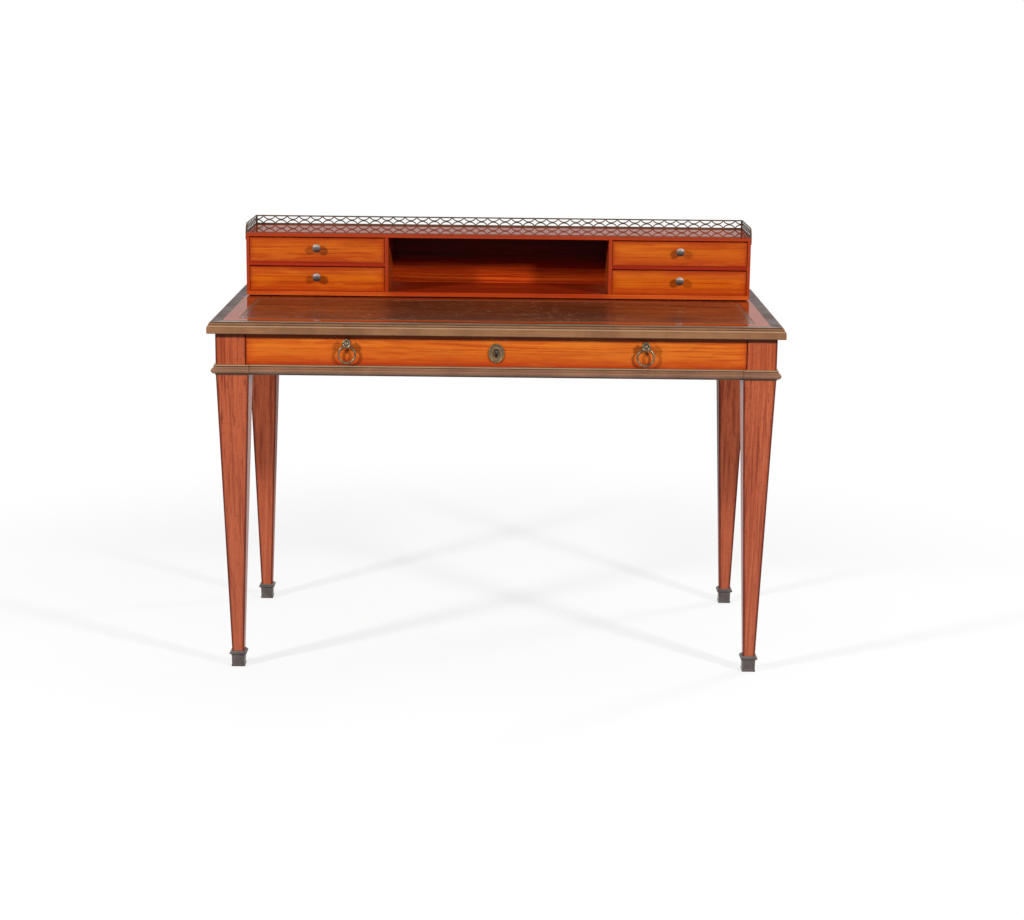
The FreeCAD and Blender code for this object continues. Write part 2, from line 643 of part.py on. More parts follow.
def pull_ring(x):
    return Part.makeTorus(RING_RADIUS, RING_WIRE / 2, V(x, EYE_Y, EYE_Z - RING_RADIUS), Y_AXIS)


def oval(inset, lift):
    """Upright oval wire inside the edge of the key plate, lifted off the drawer's face."""
    middle = KEYHOLE_Z - (KEYHOLE_DROP - KEYHOLE_RADIUS) / 2
    tall, wide = ESCUTCHEON_HEIGHT / 2 - inset, ESCUTCHEON_WIDTH / 2 - inset
    shape = Part.Wire(Part.Ellipse(ORIGIN, tall, wide).toShape())
    shape.rotate(ORIGIN, Z_AXIS, 90)
    shape.rotate(ORIGIN, X_AXIS, 90)
    shape.translate(V(0, DRAWER_FACE - lift, middle))
    return shape


def escutcheon():
    """Oval key plate: a raised rim with a bevelled edge, sloping in to a flat plate."""
    high = ESCUTCHEON_PLATE + ESCUTCHEON_RELIEF
    bevel = 0.6 * ESCUTCHEON_RELIEF
    edge = Part.Face(oval(0.0, 0.0)).extrude(V(0, -(high - bevel), 0))
    rim = Part.makeLoft([oval(0.0, high - bevel), oval(bevel, high)], True, True)
    inner = ESCUTCHEON_RIM + ESCUTCHEON_SLOPE
    sunk = Part.makeLoft([oval(inner, ESCUTCHEON_PLATE), oval(ESCUTCHEON_RIM, high)], True, True)
    plate = edge.fuse(rim).removeSplitter().cut(sunk)
    return plate.cut(keyhole(DRAWER_FACE - high, DRAWER_FACE))


def bolt_way(z0, z1, grow):
    half = BOLT_WIDTH / 2 + grow
    return block(-half, half, BOLT_Y - grow, BOLT_Y + BOLT_THICKNESS + grow, z0, z1)


def lock_case():
    """Closed case in the drawer front, with a plate on its inner side and a pin for the key."""
    half = LOCK_WIDTH / 2
    case = block(-half, half, LOCK_FRONT, DRAWER_INNER, LOCK_LOW, DRAWER_HIGH)
    wall = LOCK_WALL
    case = case.cut(block(-half + wall, half - wall, LOCK_FRONT + wall, DRAWER_INNER,
                          LOCK_LOW + wall, DRAWER_HIGH - wall))
    case = case.cut(keyhole(LOCK_FRONT, LOCK_FRONT + wall))
    case = case.cut(bolt_way(DRAWER_HIGH - wall, DRAWER_HIGH, BOLT_CLEARANCE))
    x = LOCK_PLATE_WIDTH / 2
    case = case.fuse(block(-x, x, DRAWER_INNER, DRAWER_INNER + LOCK_PLATE, LOCK_LOW, DRAWER_HIGH))
    for x, z in lock_screw_places():
        case = case.cut(rod(SCREW_SHANK / 2, V(x, DRAWER_INNER, z), Y_AXIS, LOCK_PLATE))
    pin = rod(LOCK_PIN / 2, V(0, DRAWER_FACE, KEYHOLE_Z), Y_AXIS, DRAWER_FRONT_THICKNESS)
    return case.fuse(pin).removeSplitter()


def lock_bolt():
    """Square-headed bolt, notched below for the key; its head is level with the case."""
    bolt = bolt_way(DRAWER_HIGH - BOLT_LENGTH, DRAWER_HIGH, 0.0)
    notch = BOLT_WIDTH / 6
    low = DRAWER_HIGH - BOLT_LENGTH
    return bolt.cut(block(-notch, notch, BOLT_Y, BOLT_Y + BOLT_THICKNESS, low, low + notch))


def lock_screws():
    screws = []
    face = DRAWER_INNER + LOCK_PLATE
    for x, z in lock_screw_places():
        shank = rod(SCREW_SHANK / 2, V(x, face - SCREW_LENGTH, z), Y_AXIS, SCREW_LENGTH)
        head = rod(SCREW_HEAD / 2, V(x, face, z), Y_AXIS, SCREW_HEAD_HEIGHT)
        screws.append(shank.fuse(head).removeSplitter())
    return Part.makeCompound(screws)


def keeper_front():
    return BOLT_Y + BOLT_THICKNESS / 2 - KEEPER_DEPTH / 2


def lock_keeper():
    """Brass plate let into the underside of the top, slotted for the bolt."""
    near = keeper_front()
    half = KEEPER_WIDTH / 2
    plate = block(-half, half, near, near + KEEPER_DEPTH, TOP_UNDERSIDE, TOP_UNDERSIDE + KEEPER_PLATE)
    return plate.cut(bolt_way(TOP_UNDERSIDE, TOP_UNDERSIDE + KEEPER_PLATE, BOLT_CLEARANCE))


def gradin_base():
    """Bottom board with a recessed plinth, so that it seems to float above the top."""
    low = WRITING_HEIGHT + PLINTH_HEIGHT
    board = block(-GRADIN_X, GRADIN_X, GRADIN_FRONT, GRADIN_BACK, low, GRADIN_FLOOR)
    x = GRADIN_X - PLINTH_RECESS
    plinth = block(-x, x, GRADIN_FRONT + PLINTH_RECESS, GRADIN_BACK - PLINTH_RECESS, WRITING_HEIGHT, low)
    return board.fuse(plinth).removeSplitter().cut(upright_tongues())


def gradin_top():
    board = block(-GRADIN_X, GRADIN_X, GRADIN_FRONT, GRADIN_BACK, GRADIN_CEILING, GRADIN_TOP)
    return board.cut(upright_tongues())


def side_blade():
    """Tongue along the left side, longer than the side at its foot and head."""
    left, right = -GRADIN_X + HOUSING_SHOULDER, -GRADIN_INNER_X - HOUSING_SHOULDER
    low, high = GRADIN_FLOOR - HOUSING_DEPTH, GRADIN_CEILING + HOUSING_DEPTH
    return block(left, right, HOUSING_FRONT, HOUSING_BACK, low, high)


def partition_blade():
    return block(-PARTITION_OUTER, -PARTITION_INNER, HOUSING_FRONT, GRADIN_INNER_Y,
                 GRADIN_FLOOR - HOUSING_DEPTH, GRADIN_CEILING + HOUSING_DEPTH)


def upright_tongues():
    """The tongues of all four uprights, which the base and the top are housed for."""
    left = [side_blade(), partition_blade()]
    return Part.makeCompound(left + [mirrored(blade, RIGHT) for blade in left])


def divider_blade():
    left, right = -GRADIN_INNER_X - HOUSING_DEPTH, -PARTITION_OUTER + HOUSING_DEPTH
    return block(left, right, HOUSING_FRONT, GRADIN_INNER_Y, UPPER_FLOOR - GRADIN_BOARD, UPPER_FLOOR)


def gradin_side(side):
    board = block(-GRADIN_X, -GRADIN_INNER_X, GRADIN_FRONT, GRADIN_BACK, GRADIN_FLOOR, GRADIN_CEILING)
    return mirrored(board.fuse(side_blade()).removeSplitter().cut(divider_blade()), side)


def gradin_partition(side):
    left, right = -PARTITION_OUTER, -PARTITION_INNER
    board = block(left, right, GRADIN_FRONT, GRADIN_INNER_Y, GRADIN_FLOOR, GRADIN_CEILING)
    return mirrored(board.fuse(partition_blade()).removeSplitter().cut(divider_blade()), side)


def gradin_back():
    return block(-GRADIN_INNER_X, GRADIN_INNER_X, GRADIN_INNER_Y, GRADIN_BACK, GRADIN_FLOOR, GRADIN_CEILING)


def gradin_dividers():
    board = block(-GRADIN_INNER_X, -PARTITION_OUTER, GRADIN_FRONT, GRADIN_INNER_Y,
                  UPPER_FLOOR - GRADIN_BOARD, UPPER_FLOOR)
    board = board.fuse(divider_blade()).removeSplitter()
    return Part.makeCompound([board, mirrored(board, RIGHT)])


class Pierced:
    """Outlines of the gallery's openings in a flat strip, as (along, up) wires.

    Arches hang from the upper rail and stand on the lower one, back to back at a
    short waist, and four-pointed gaps lie between the pairs.
    """

    def __init__(self, place):
        self.place = place
        self.half = GALLERY_PITCH / 2
        self.middle = GALLERY_HEIGHT / 2
        rise = self.middle - GALLERY_RAIL / 2 - GALLERY_WAIST / 2
        self.radius = (self.half ** 2 + rise ** 2) / (2 * rise)
        self.centre = self.middle + GALLERY_WAIST / 2 + self.radius
        self.chord = GALLERY_HEIGHT - GALLERY_RAIL

    def height(self, radius, offset):
        """Height of the upper arch's edge at a distance from its axis."""
        return self.centre - math.sqrt(radius ** 2 - offset ** 2)

    def flip(self, point):
        return (point[0], GALLERY_HEIGHT - point[1])

    def arch(self, x, low, high):
        """Half-moons above and below at x, kept between low and high along the strip."""
        radius = self.radius - GALLERY_BAR / 2
        reach = math.sqrt(radius ** 2 - (self.centre - self.chord) ** 2)
        left = max(x - reach, low)
        right = min(x + reach, high)
        middle = (left + right) / 2
        start = (left, self.chord)
        edge = (left, self.height(radius, left - x))
        through = (middle, self.height(radius, middle - x))
        end = (right, self.height(radius, right - x))
        steps = [(through, end)] if left > low else [edge, (through, end)]
        steps += [(right, self.chord)] if right >= high else []
        turned_steps = [tuple(map(self.flip, s)) if isinstance(s[0], tuple) else self.flip(s) for s in steps]
        return [outline(start, steps, self.place), outline(self.flip(start), turned_steps, self.place)]

    def diamond(self, x):
        """Four-pointed gap centred at x, between two pairs of arches."""
        radius = self.radius + GALLERY_BAR / 2
        waist = math.sqrt(radius ** 2 - (self.centre - self.middle) ** 2)
        tip = self.half - waist
        top = self.height(radius, self.half)
        mid = (tip / 2, self.height(radius, self.half - tip / 2))
        right, up = (x + tip, self.middle), (x, top)
        left, down = (x - tip, self.middle), (x, GALLERY_HEIGHT - top)
        mid_right, mid_left = (x + mid[0], mid[1]), (x - mid[0], mid[1])
        corners = [(right, mid_right, up), (up, mid_left, left)]
        corners += [(left, self.flip(mid_left), down), (down, self.flip(mid_right), right)]
        edges = [Part.Arc(*[self.place(p) for p in corner]).toShape() for corner in corners]
        return [Part.Wire(edges)]

    def openings(self, low, high, start):
        """Gaps on the strip from low to high, with a four-pointed gap at start."""
        wires = []
        first = math.ceil((low - start) / self.half)
        last = math.floor((high - start) / self.half)
        radius = self.radius + GALLERY_BAR / 2
        tip = self.half - math.sqrt(radius ** 2 - (self.centre - self.middle) ** 2)
        for step in range(first - 1, last + 2):
            x = start + step * self.half
            if step % 2:
                visible = min(x + self.half, high) - max(x - self.half, low)
                wires += self.arch(x, low, high) if visible > 0.5 * self.half else []
            elif x - tip > low and x + tip < high:
                wires += self.diamond(x)
        return wires


def pierced_strip(border, low, high, start, place, thickness):
    """Strip cut out of sheet: a border wire, its openings and the sheet's thickness."""
    wires = [border] + Pierced(place).openings(low, high, start)
    return Part.makeFace(wires, "Part::FaceMakerBullseye").extrude(thickness)


def gallery_back():
    reach = GRADIN_X + GALLERY_THICKNESS
    place = lambda p: V(p[0], GRADIN_BACK, GRADIN_TOP + p[1])
    corners = [(reach, -GALLERY_FASCIA), (reach, GALLERY_HEIGHT), (-reach, GALLERY_HEIGHT)]
    border = outline((-reach, -GALLERY_FASCIA), corners, place)
    inner = reach - GALLERY_POST
    return pierced_strip(border, -inner, inner, 0.0, place, V(0, GALLERY_THICKNESS, 0))


def gallery_side(side):
    """Side strip; its front end sweeps down from the upper rail to the fascia."""
    place = lambda p: V(-GRADIN_X - GALLERY_THICKNESS, GRADIN_BACK - p[0], GRADIN_TOP + p[1])
    sweep = GRADIN_DEPTH - GALLERY_SWEEP
    through = (sweep + 0.62 * GALLERY_SWEEP, 0.74 * GALLERY_HEIGHT)
    steps = [(GRADIN_DEPTH, -GALLERY_FASCIA), (GRADIN_DEPTH, 0.0)]
    steps += [(through, (sweep, GALLERY_HEIGHT)), (0.0, GALLERY_HEIGHT)]
    border = outline((0.0, -GALLERY_FASCIA), steps, place)
    count = math.floor((sweep - GALLERY_POST) / GALLERY_PITCH)
    low = GALLERY_POST
    strip = pierced_strip(border, low, low + count * GALLERY_PITCH, low, place, V(GALLERY_THICKNESS, 0, 0))
    return mirrored(strip, side)


class SmallDrawer:
    """One of the four small drawers, drawn at the left and mirrored to its side."""

    def __init__(self, side, floor):
        self.side = side
        self.left = -GRADIN_INNER_X + SMALL_GAP
        self.right = -PARTITION_OUTER - SMALL_GAP
        self.low = floor + SMALL_CLEARANCE
        self.high = floor + OPENING_HEIGHT - SMALL_TOP_GAP
        self.inner_left = self.left + SMALL_SIDE
        self.inner_right = self.right - SMALL_SIDE
        self.middle = (self.left + self.right) / 2
        self.knob_z = (self.low + self.high) / 2 + KNOB_RISE

    def groove(self, x0, x1, y0, y1):
        low = self.low + SMALL_BOTTOM_LIFT
        return block(x0, x1, y0, y1, low, low + SMALL_BOTTOM)

    def tails(self, x0, x1, grow=0.0):
        """Dovetails on the front end of a side, or their sockets when grown."""
        share = (self.high - SMALL_SIDE_DROP - self.low) / TAILS
        end = SMALL_INNER - TAIL_LENGTH - grow
        found = []
        for number in range(TAILS):
            middle = self.low + share * (number + 0.5)
            neck = TAIL_SHARE * share / 2 + grow
            tip = neck + TAIL_LENGTH * TAIL_SLOPE
            corners = [V(x0, SMALL_INNER, middle - neck), V(x0, end, middle - tip)]
            corners += [V(x0, end, middle + tip), V(x0, SMALL_INNER, middle + neck)]
            found.append(Part.Face(Part.makePolygon(corners + corners[:1])).extrude(V(x1 - x0, 0, 0)))
        return found

    def front(self):
        body = block(self.left, self.right, SMALL_FACE, SMALL_INNER, self.low, self.high)
        slack = DOVETAIL_CLEARANCE
        for tail in self.tails(self.left, self.inner_left + slack, slack):
            body = body.cut(tail)
        for tail in self.tails(self.inner_right - slack, self.right, slack):
            body = body.cut(tail)
        groove_end = SMALL_INNER - SMALL_GROOVE
        body = body.cut(self.groove(self.inner_left, self.inner_right, groove_end, SMALL_INNER))
        centre = V(self.middle, SMALL_FACE, self.knob_z)
        stud = rod(KNOB_STUD / 2 + STUD_CLEARANCE, centre, Y_AXIS, SMALL_FRONT)
        return mirrored(body.cut(stud), self.side)

    def box(self):
        """Two dovetailed sides, a housed back and a bottom board in its grooves."""
        high = self.high - SMALL_SIDE_DROP
        near, far = SMALL_INNER, SMALL_END
        slot = SMALL_GROOVE
        left = block(self.left, self.inner_left, near, far, self.low, high)
        left = left.cut(self.groove(self.inner_left - slot, self.inner_left, near, far))
        right = block(self.inner_right, self.right, near, far, self.low, high)
        right = right.cut(self.groove(self.inner_right, self.inner_right + slot, near, far))
        above = self.low + SMALL_BOTTOM_LIFT + SMALL_BOTTOM
        end = far - SMALL_BACK_INSET
        back = block(self.inner_left - slot, self.inner_right + slot, end - SMALL_SIDE, end, above, high)
        left = left.cut(back).fuse(self.tails(self.left, self.inner_left)).removeSplitter()
        right = right.cut(back).fuse(self.tails(self.inner_right, self.right)).removeSplitter()
        bottom = self.groove(self.inner_left - slot, self.inner_right + slot, near, far)
        lip = self.groove(self.inner_left, self.inner_right, near - slot, far)
        bottom = bottom.fuse(lip).removeSplitter()
        return mirrored(Part.makeCompound([left, right, back, bottom]), self.side)

    def knob(self):
        """Turned knob with a low domed head on a waisted neck, and its stud."""
        head = KNOB_DIAMETER / 2
        neck = KNOB_NECK / 2
        base = KNOB_FOOT / 2
        face = KNOB_PROJECTION
        steps = [
            (base, 0.0),
            (base, 1.2),
            ((neck + 0.2, 0.26 * face), (neck, 0.42 * face)),
            ((neck + 1.2, 0.56 * face), (head - 1.2, 0.64 * face)),
            ((head, 0.78 * face), (head - 0.7, 0.93 * face)),
            cap(head - 0.7, 0.93 * face, face),
        ]
        centre = V(self.middle, SMALL_FACE, self.knob_z)
        knob = turned((0.0, 0.0), steps, centre, V(0, -1, 0))
        stud = rod(KNOB_STUD / 2, centre, Y_AXIS, SMALL_FRONT + STUD_TAIL)
        return mirrored(knob.fuse(stud).removeSplitter(), self.side)


def nodes():
    """Every piece of the desk by name."""
    pieces = {}
    for end, end_name in ((FRONT, "front"), (BACK, "back")):
        for side, side_name in ((LEFT, "left"), (RIGHT, "right")):
            pieces[f"leg_{end_name}_{side_name}"] = leg(side, end)
            pieces[f"sabot_{end_name}_{side_name}"] = foot(side, end)
    for side, name in ((LEFT, "left"), (RIGHT, "right")):
        pieces[f"side_rail_{name}"] = side_rail(side)
        pieces[f"gradin_side_{name}"] = gradin_side(side)
        pieces[f"gradin_partition_{name}"] = gradin_partition(side)
        pieces[f"gallery_{name}"] = gallery_side(side)
        pieces[f"drawer_side_{name}"] = drawer_side(side)
        for level, floor in (("upper", UPPER_FLOOR), ("lower", GRADIN_FLOOR)):
            drawer = SmallDrawer(side, floor)
            pieces[f"small_drawer_{level}_{name}_front"] = drawer.front()
            pieces[f"small_drawer_{level}_{name}_box"] = drawer.box()
            pieces[f"small_drawer_{level}_{name}_knob"] = drawer.knob()
    pieces["back_rail"] = back_rail()
    pieces["drawer_rail"] = drawer_rail()
    pieces["drawer_runners"] = drawer_runners()
    pieces.update(frieze_mouldings())
    pieces["leg_mouldings"] = leg_mouldings()
    pieces["top_panel"] = top_panel()
    pieces.update(top_mouldings())
    pieces["leather_top"] = leather_top()
    pieces["gradin_base"] = gradin_base()
    pieces["gradin_top"] = gradin_top()
    pieces["gradin_back"] = gradin_back()
    pieces["gradin_dividers"] = gradin_dividers()
    pieces["gallery_back"] = gallery_back()
    pieces["drawer_front"] = drawer_front()
    pieces["drawer_back"] = drawer_back()
    pieces["drawer_bottom"] = drawer_bottom()
    left_x, right_x = pull_places()
    pieces["pull_bosses"] = Part.makeCompound([pull_boss(left_x), pull_boss(right_x)])
    pieces["pull_ring_left"] = pull_ring(left_x)
    pieces["pull_ring_right"] = pull_ring(right_x)
    pieces["escutcheon"] = escutcheon()
    pieces["lock_case"] = lock_case()
    pieces["lock_bolt"] = lock_bolt()
    pieces["lock_screws"] = lock_screws()
    pieces["lock_keeper"] = lock_keeper()
    return pieces


def main():
    os.makedirs("parts", exist_ok=True)
    for name, shape in nodes().items():
        shape.exportStep(f"parts/{name}.step")
        print(f"{name}: {len(shape.Solids)} solids, valid {shape.isValid()}, {shape.Volume / 1000:.1f} cm3")


main()
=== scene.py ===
import math

import bmesh
import bpy
from mathutils import Euler, Matrix, Vector


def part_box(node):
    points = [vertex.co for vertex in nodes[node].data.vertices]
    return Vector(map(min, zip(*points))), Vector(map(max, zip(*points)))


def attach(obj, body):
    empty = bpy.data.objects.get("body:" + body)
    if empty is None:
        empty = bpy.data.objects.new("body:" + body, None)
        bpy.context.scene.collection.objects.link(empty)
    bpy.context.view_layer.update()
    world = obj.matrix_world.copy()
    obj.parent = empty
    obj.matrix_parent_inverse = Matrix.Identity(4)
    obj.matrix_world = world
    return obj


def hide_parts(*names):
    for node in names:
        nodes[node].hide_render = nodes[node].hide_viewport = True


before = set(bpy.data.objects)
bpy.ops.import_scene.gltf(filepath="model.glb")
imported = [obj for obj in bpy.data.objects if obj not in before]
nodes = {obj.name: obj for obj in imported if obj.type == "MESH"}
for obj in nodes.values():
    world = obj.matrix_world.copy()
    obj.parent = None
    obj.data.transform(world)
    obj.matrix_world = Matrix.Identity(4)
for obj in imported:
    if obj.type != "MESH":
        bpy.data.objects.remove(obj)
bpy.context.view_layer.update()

# Camera, fitted to the photograph: places in metres, angles in radians
IMAGE_WIDTH = 1024
FOCAL_PIXELS = 2138.6
SENSOR_WIDTH = 36.0             # millimetres
CAMERA_PLACE = (0.0302, -4.7021, 1.3922)
CAMERA_PITCH = 0.2079
CAMERA_YAW = -0.0011
CAMERA_ROLL = 0.0111

# Places on the desk that the finishes follow, in metres
LEATHER_LOW, LEATHER_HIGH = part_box("leather_top")
LEG_LOW, LEG_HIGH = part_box("leg_front_right")
RAIL_LOW, RAIL_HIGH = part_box("drawer_rail")
PLATE_LOW, PLATE_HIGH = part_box("escutcheon")
EDGE_LOW, EDGE_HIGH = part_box("top_moulding_front")
BASE_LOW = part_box("gradin_base")[0]
BACK_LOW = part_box("gradin_back")[0]
SHOE_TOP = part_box("sabot_front_right")[1].z
WALL_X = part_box("gradin_partition_right")[0].x      # inner wall of the open compartment
WOOD_FRONT = EDGE_LOW.y + 0.029                     # where the veneer meets the brass along the front
LEG_FOOT_HALF = 0.0127                              # half the leg's width at its shoe

WHITE = (1.0, 1.0, 1.0, 1.0)


def rgb(red, green, blue):
    """Screen colour, 0 to 255, as the linear colour that a shader takes."""
    def linear(c):
        c /= 255
        return c / 12.92 if c <= 0.04045 else ((c + 0.055) / 1.055) ** 2.4
    return (linear(red), linear(green), linear(blue), 1.0)


class Tree:
    """A node tree, built with short calls."""

    def __init__(self, tree):
        self.tree = tree
        tree.nodes.clear()

    def add(self, kind, settings=(), **inputs):
        """New node. An underscore in the name of an input stands for a space."""
        node = self.tree.nodes.new(kind)
        for key, value in dict(settings).items():
            setattr(node, key, value)
        for key, value in inputs.items():
            self.put(node.inputs[key.replace("_", " ")], value)
        return node

    def put(self, socket, value):
        """Links a socket to another one, or sets its value."""
        if isinstance(value, bpy.types.NodeSocket):
            self.tree.links.new(value, socket)
        else:
            socket.default_value = value

    def math(self, operation, *values):
        node = self.add("ShaderNodeMath", {"operation": operation})
        for socket, value in zip(node.inputs, values):
            self.put(socket, value)
        return node.outputs[0]

    def axes(self, place):
        split = self.add("ShaderNodeSeparateXYZ", Vector=place)
        return split.outputs[0], split.outputs[1], split.outputs[2]

    def spread(self, value, low, high, to_low=0.0, to_high=1.0, kind="SMOOTHSTEP"):
        """Takes a value from one range to another, and holds it at the ends."""
        node = self.add("ShaderNodeMapRange", {"interpolation_type": kind})
        for socket, number in zip(node.inputs, (value, low, high, to_low, to_high)):
            self.put(socket, number)
        return node.outputs[0]


class Shader(Tree):
    """A material's nodes round one surface shader, placed by the object's own coordinates."""

    def __init__(self, name):
        self.material = bpy.data.materials.new(name)
        self.material.use_nodes = True
        super().__init__(self.material.node_tree)
        self.surface = self.add("ShaderNodeBsdfPrincipled")
        self.output = self.add("ShaderNodeOutputMaterial", Surface=self.surface.outputs[0])
        self.place = self.add("ShaderNodeTexCoord").outputs["Object"]
        self.x, self.y, self.z = self.axes(self.place)

    def set(self, **inputs):
        """Sockets of the surface shader."""
        for key, value in inputs.items():
            self.put(self.surface.inputs[key.replace("_", " ")], value)

    def noise(self, scale, seed, detail=3.0, roughness=0.6, place=None):
        node = self.add("ShaderNodeTexNoise", {"noise_dimensions": "4D"}, Vector=place or self.place,
                        W=seed, Scale=scale, Detail=detail, Roughness=roughness)
        return node.outputs[0]

    def streaks(self, scale, seed, detail=3.0, roughness=0.6):
        """Noise with its own scale on each axis."""
        stretched = self.add("ShaderNodeMapping", Vector=self.place, Scale=scale)
        return self.noise(1.0, seed, detail, roughness, stretched.outputs[0])

    def line_noise(self, place, detail, roughness):
        """Noise along one line, for bands that follow a place across the grain."""
        node = self.add("ShaderNodeTexNoise", {"noise_dimensions": "1D"}, W=place, Scale=1.0,
                        Detail=detail, Roughness=roughness)
        return node.outputs[0]

    def away(self, place, centre):
        """Distance from a centre along one axis."""
        return self.math("ABSOLUTE", self.math("SUBTRACT", place, centre))

    def mark(self, place, edge, fade, share=1.0):
        """Share of a mark that starts and is full at two distances from an edge."""
        start, full = fade
        return self.spread(place, edge + start, edge + full, 0.0, share)

    def ramp(self, factor, *stops):
        node = self.add("ShaderNodeValToRGB", Fac=factor)
        elements = node.color_ramp.elements
        while len(elements) < len(stops):
            elements.new(0.5)
        for element, (position, colour) in zip(elements, stops):
            element.position = position
            element.color = colour
        return node.outputs[0]

    def mix(self, factor, first, second):
        """Colour that goes from the first to the second; the node holds the factor in 0 to 1."""
        node = self.add("ShaderNodeMix", {"data_type": "RGBA"})
        self.put(node.inputs[0], factor)
        self.put(node.inputs[6], first)
        self.put(node.inputs[7], second)
        return node.outputs[2]

    def bump(self, height, distance, strength):
        node = self.add("ShaderNodeBump", Height=height, Distance=distance, Strength=strength)
        self.set(Normal=node.outputs[0])


# Wood

# A tone holds the colours and the figure of a veneer.
# The growth rings go from dark over middle and warm to light, with plain wood where they fade out.
# Over them lie faded clouds, a blush of the middle colour, fine dark lines and pores.
# The colour deep darkens the rim and the lower part of the drawer fronts.
# rings counts bands per metre, rough says how finely they split and sway how far they wander.
# bend, lines, dash and gap are noise scales along and across the grain, per metre.
# cloud, blush, fine and pores are the shares of those layers.
FRONT_TONE = dict(
    light=rgb(226, 125, 35), warm=rgb(216, 107, 25), middle=rgb(199, 85, 19), dark=rgb(152, 45, 14),
    plain=rgb(214, 106, 26), faded=rgb(220, 117, 34), pore=rgb(115, 30, 9), deep=rgb(180, 60, 14),
    rings=125.0, rough=0.70, sway=5.0,
    bend=(1.3, 10.0), lines=(6.0, 290.0), dash=(40.0, 1400.0), gap=(6.0, 55.0),
    cloud=0.60, blush=0.55, fine=0.55, pores=0.40)
SMALL_TONE = dict(
    FRONT_TONE,
    light=rgb(214, 112, 24), warm=rgb(201, 94, 16), middle=rgb(188, 76, 12), dark=rgb(140, 39, 10),
    plain=rgb(203, 97, 17), faded=rgb(206, 104, 21), deep=rgb(168, 53, 10))
CARCASE_TONE = dict(
    FRONT_TONE,
    light=rgb(208, 100, 36), warm=rgb(198, 87, 30), middle=rgb(181, 70, 23), dark=rgb(132, 37, 13),
    plain=rgb(196, 84, 28), faded=rgb(202, 92, 32), pore=rgb(96, 22, 8),
    rings=90.0, sway=3.0, cloud=0.35, blush=0.2, fine=0.3)
SURFACE_TONE = dict(
    CARCASE_TONE,
    light=rgb(175, 82, 34), warm=rgb(163, 69, 26), middle=rgb(150, 54, 18), dark=rgb(116, 32, 12),
    plain=rgb(162, 68, 26), faded=rgb(169, 76, 29))
GRADIN_TONE = dict(
    SURFACE_TONE,
    light=rgb(170, 76, 31), warm=rgb(159, 64, 23), middle=rgb(146, 50, 16), dark=rgb(112, 29, 11),
    plain=rgb(158, 64, 23), faded=rgb(164, 71, 27))
DIVIDER_TONE = dict(
    CARCASE_TONE,
    light=rgb(176, 52, 24), warm=rgb(160, 42, 18), middle=rgb(140, 30, 12), dark=rgb(100, 18, 8),
    plain=rgb(158, 42, 18), faded=rgb(164, 44, 20))
BACK_TONE = dict(
    FRONT_TONE,
    light=rgb(212, 92, 27), warm=rgb(194, 72, 18), middle=rgb(158, 43, 11), dark=rgb(105, 20, 7),
    plain=rgb(180, 61, 16), faded=rgb(188, 68, 18),
    rings=80.0, sway=4.0, cloud=0.4)
LEG_TONE = dict(
    FRONT_TONE,
    light=rgb(199, 108, 71), warm=rgb(185, 93, 59), middle=rgb(168, 75, 46), dark=rgb(125, 47, 31),
    plain=rgb(183, 91, 58), faded=rgb(189, 98, 64), pore=rgb(94, 32, 21),
    rings=110.0, rough=0.78, sway=0.9,
    bend=(0.7, 7.0), lines=(3.0, 200.0), dash=(30.0, 330.0), gap=(6.0, 90.0),
    cloud=0.30, fine=0.80, pores=0.60)
LINING_TONE = dict(
    FRONT_TONE,
    light=rgb(192, 152, 104), warm=rgb(178, 136, 90), middle=rgb(164, 122, 78), dark=rgb(126, 88, 54),
    plain=rgb(178, 136, 90), faded=rgb(196, 158, 112), pore=rgb(104, 70, 42),
    cloud=0.3)
CLOUD_SCALE = (2.2, 7.0)        # along and across the grain, per metre
BLUSH_SCALE = (4.0, 38.0)

# Strength of the French polish
TOP_GLOSS = 0.50
BOARD_GLOSS = 0.45
FRONT_GLOSS = 0.35
DIVIDER_GLOSS = 0.25
BACK_LEG_GLOSS = 0.20
COMPARTMENT_GLOSS = 0.08

# Marks on the veneer: metres from an edge to where a mark starts and to where it is full
BROAD_RIM = (0.050, 0.018)              # darker rim round a drawer front
NARROW_RIM = (0.012, 0.004)             # dark line at the edge of a drawer front
FRONT_LIP = (0.0012, 0.0004)            # front edge of a gradin board
LEG_BLOCK = (-0.01, 0.02)               # block of a leg, up from the lower edge of the frieze
ARRIS_LINE = (0.0056, 0.0016)           # dark line along the arris of a leg
BACK_SHADE = (0.024, 0.066)             # upper part of the compartment's back: painted shade
BACK_FACE = (0.003, 0.001)              # its face, and not the outside of the board
COMPARTMENT_FLOOR = (0.0005, 0.003)     # upper face of the base, behind its front edge: painted shade
DUSTY_CORNER = (-0.055, 0.0)
BELOW_COMPARTMENT = (0.02, -0.02)       # front edge of the base between the walls
# painted shade along the foot of the base's front edge
FOOT_SHADE = (0.0045, 0.0015)
FRONT_STRIP = (0.001, -0.001)           # border of the top in front of the leather, painted brighter as painted light
# dark band on the border along the brass
FRONT_DARK_BAND = (0.011, 0.005)
# painted shadow on the border in front of the gradin
SHADOW_BEFORE_GRADIN = (-0.007, -0.003)

RING_SWAY = 0.008               # how far rings and patches move the line of a rim, in metres
PATCH_SWAY = 0.040
LOWER_SWAY = 1.6                # the same for the redder lower part, in heights of the front
LOWER_PART = (-0.30, -0.75)     # where that part starts and is full, in heights of the front

# Depth of the bump in metres
POLISH_DEPTH = 0.00005
BARE_WOOD_DEPTH = 0.0001
METAL_DEPTH = 0.00006
PLATE_DEPTH = 0.0004
HIDE_DEPTH = 0.00015


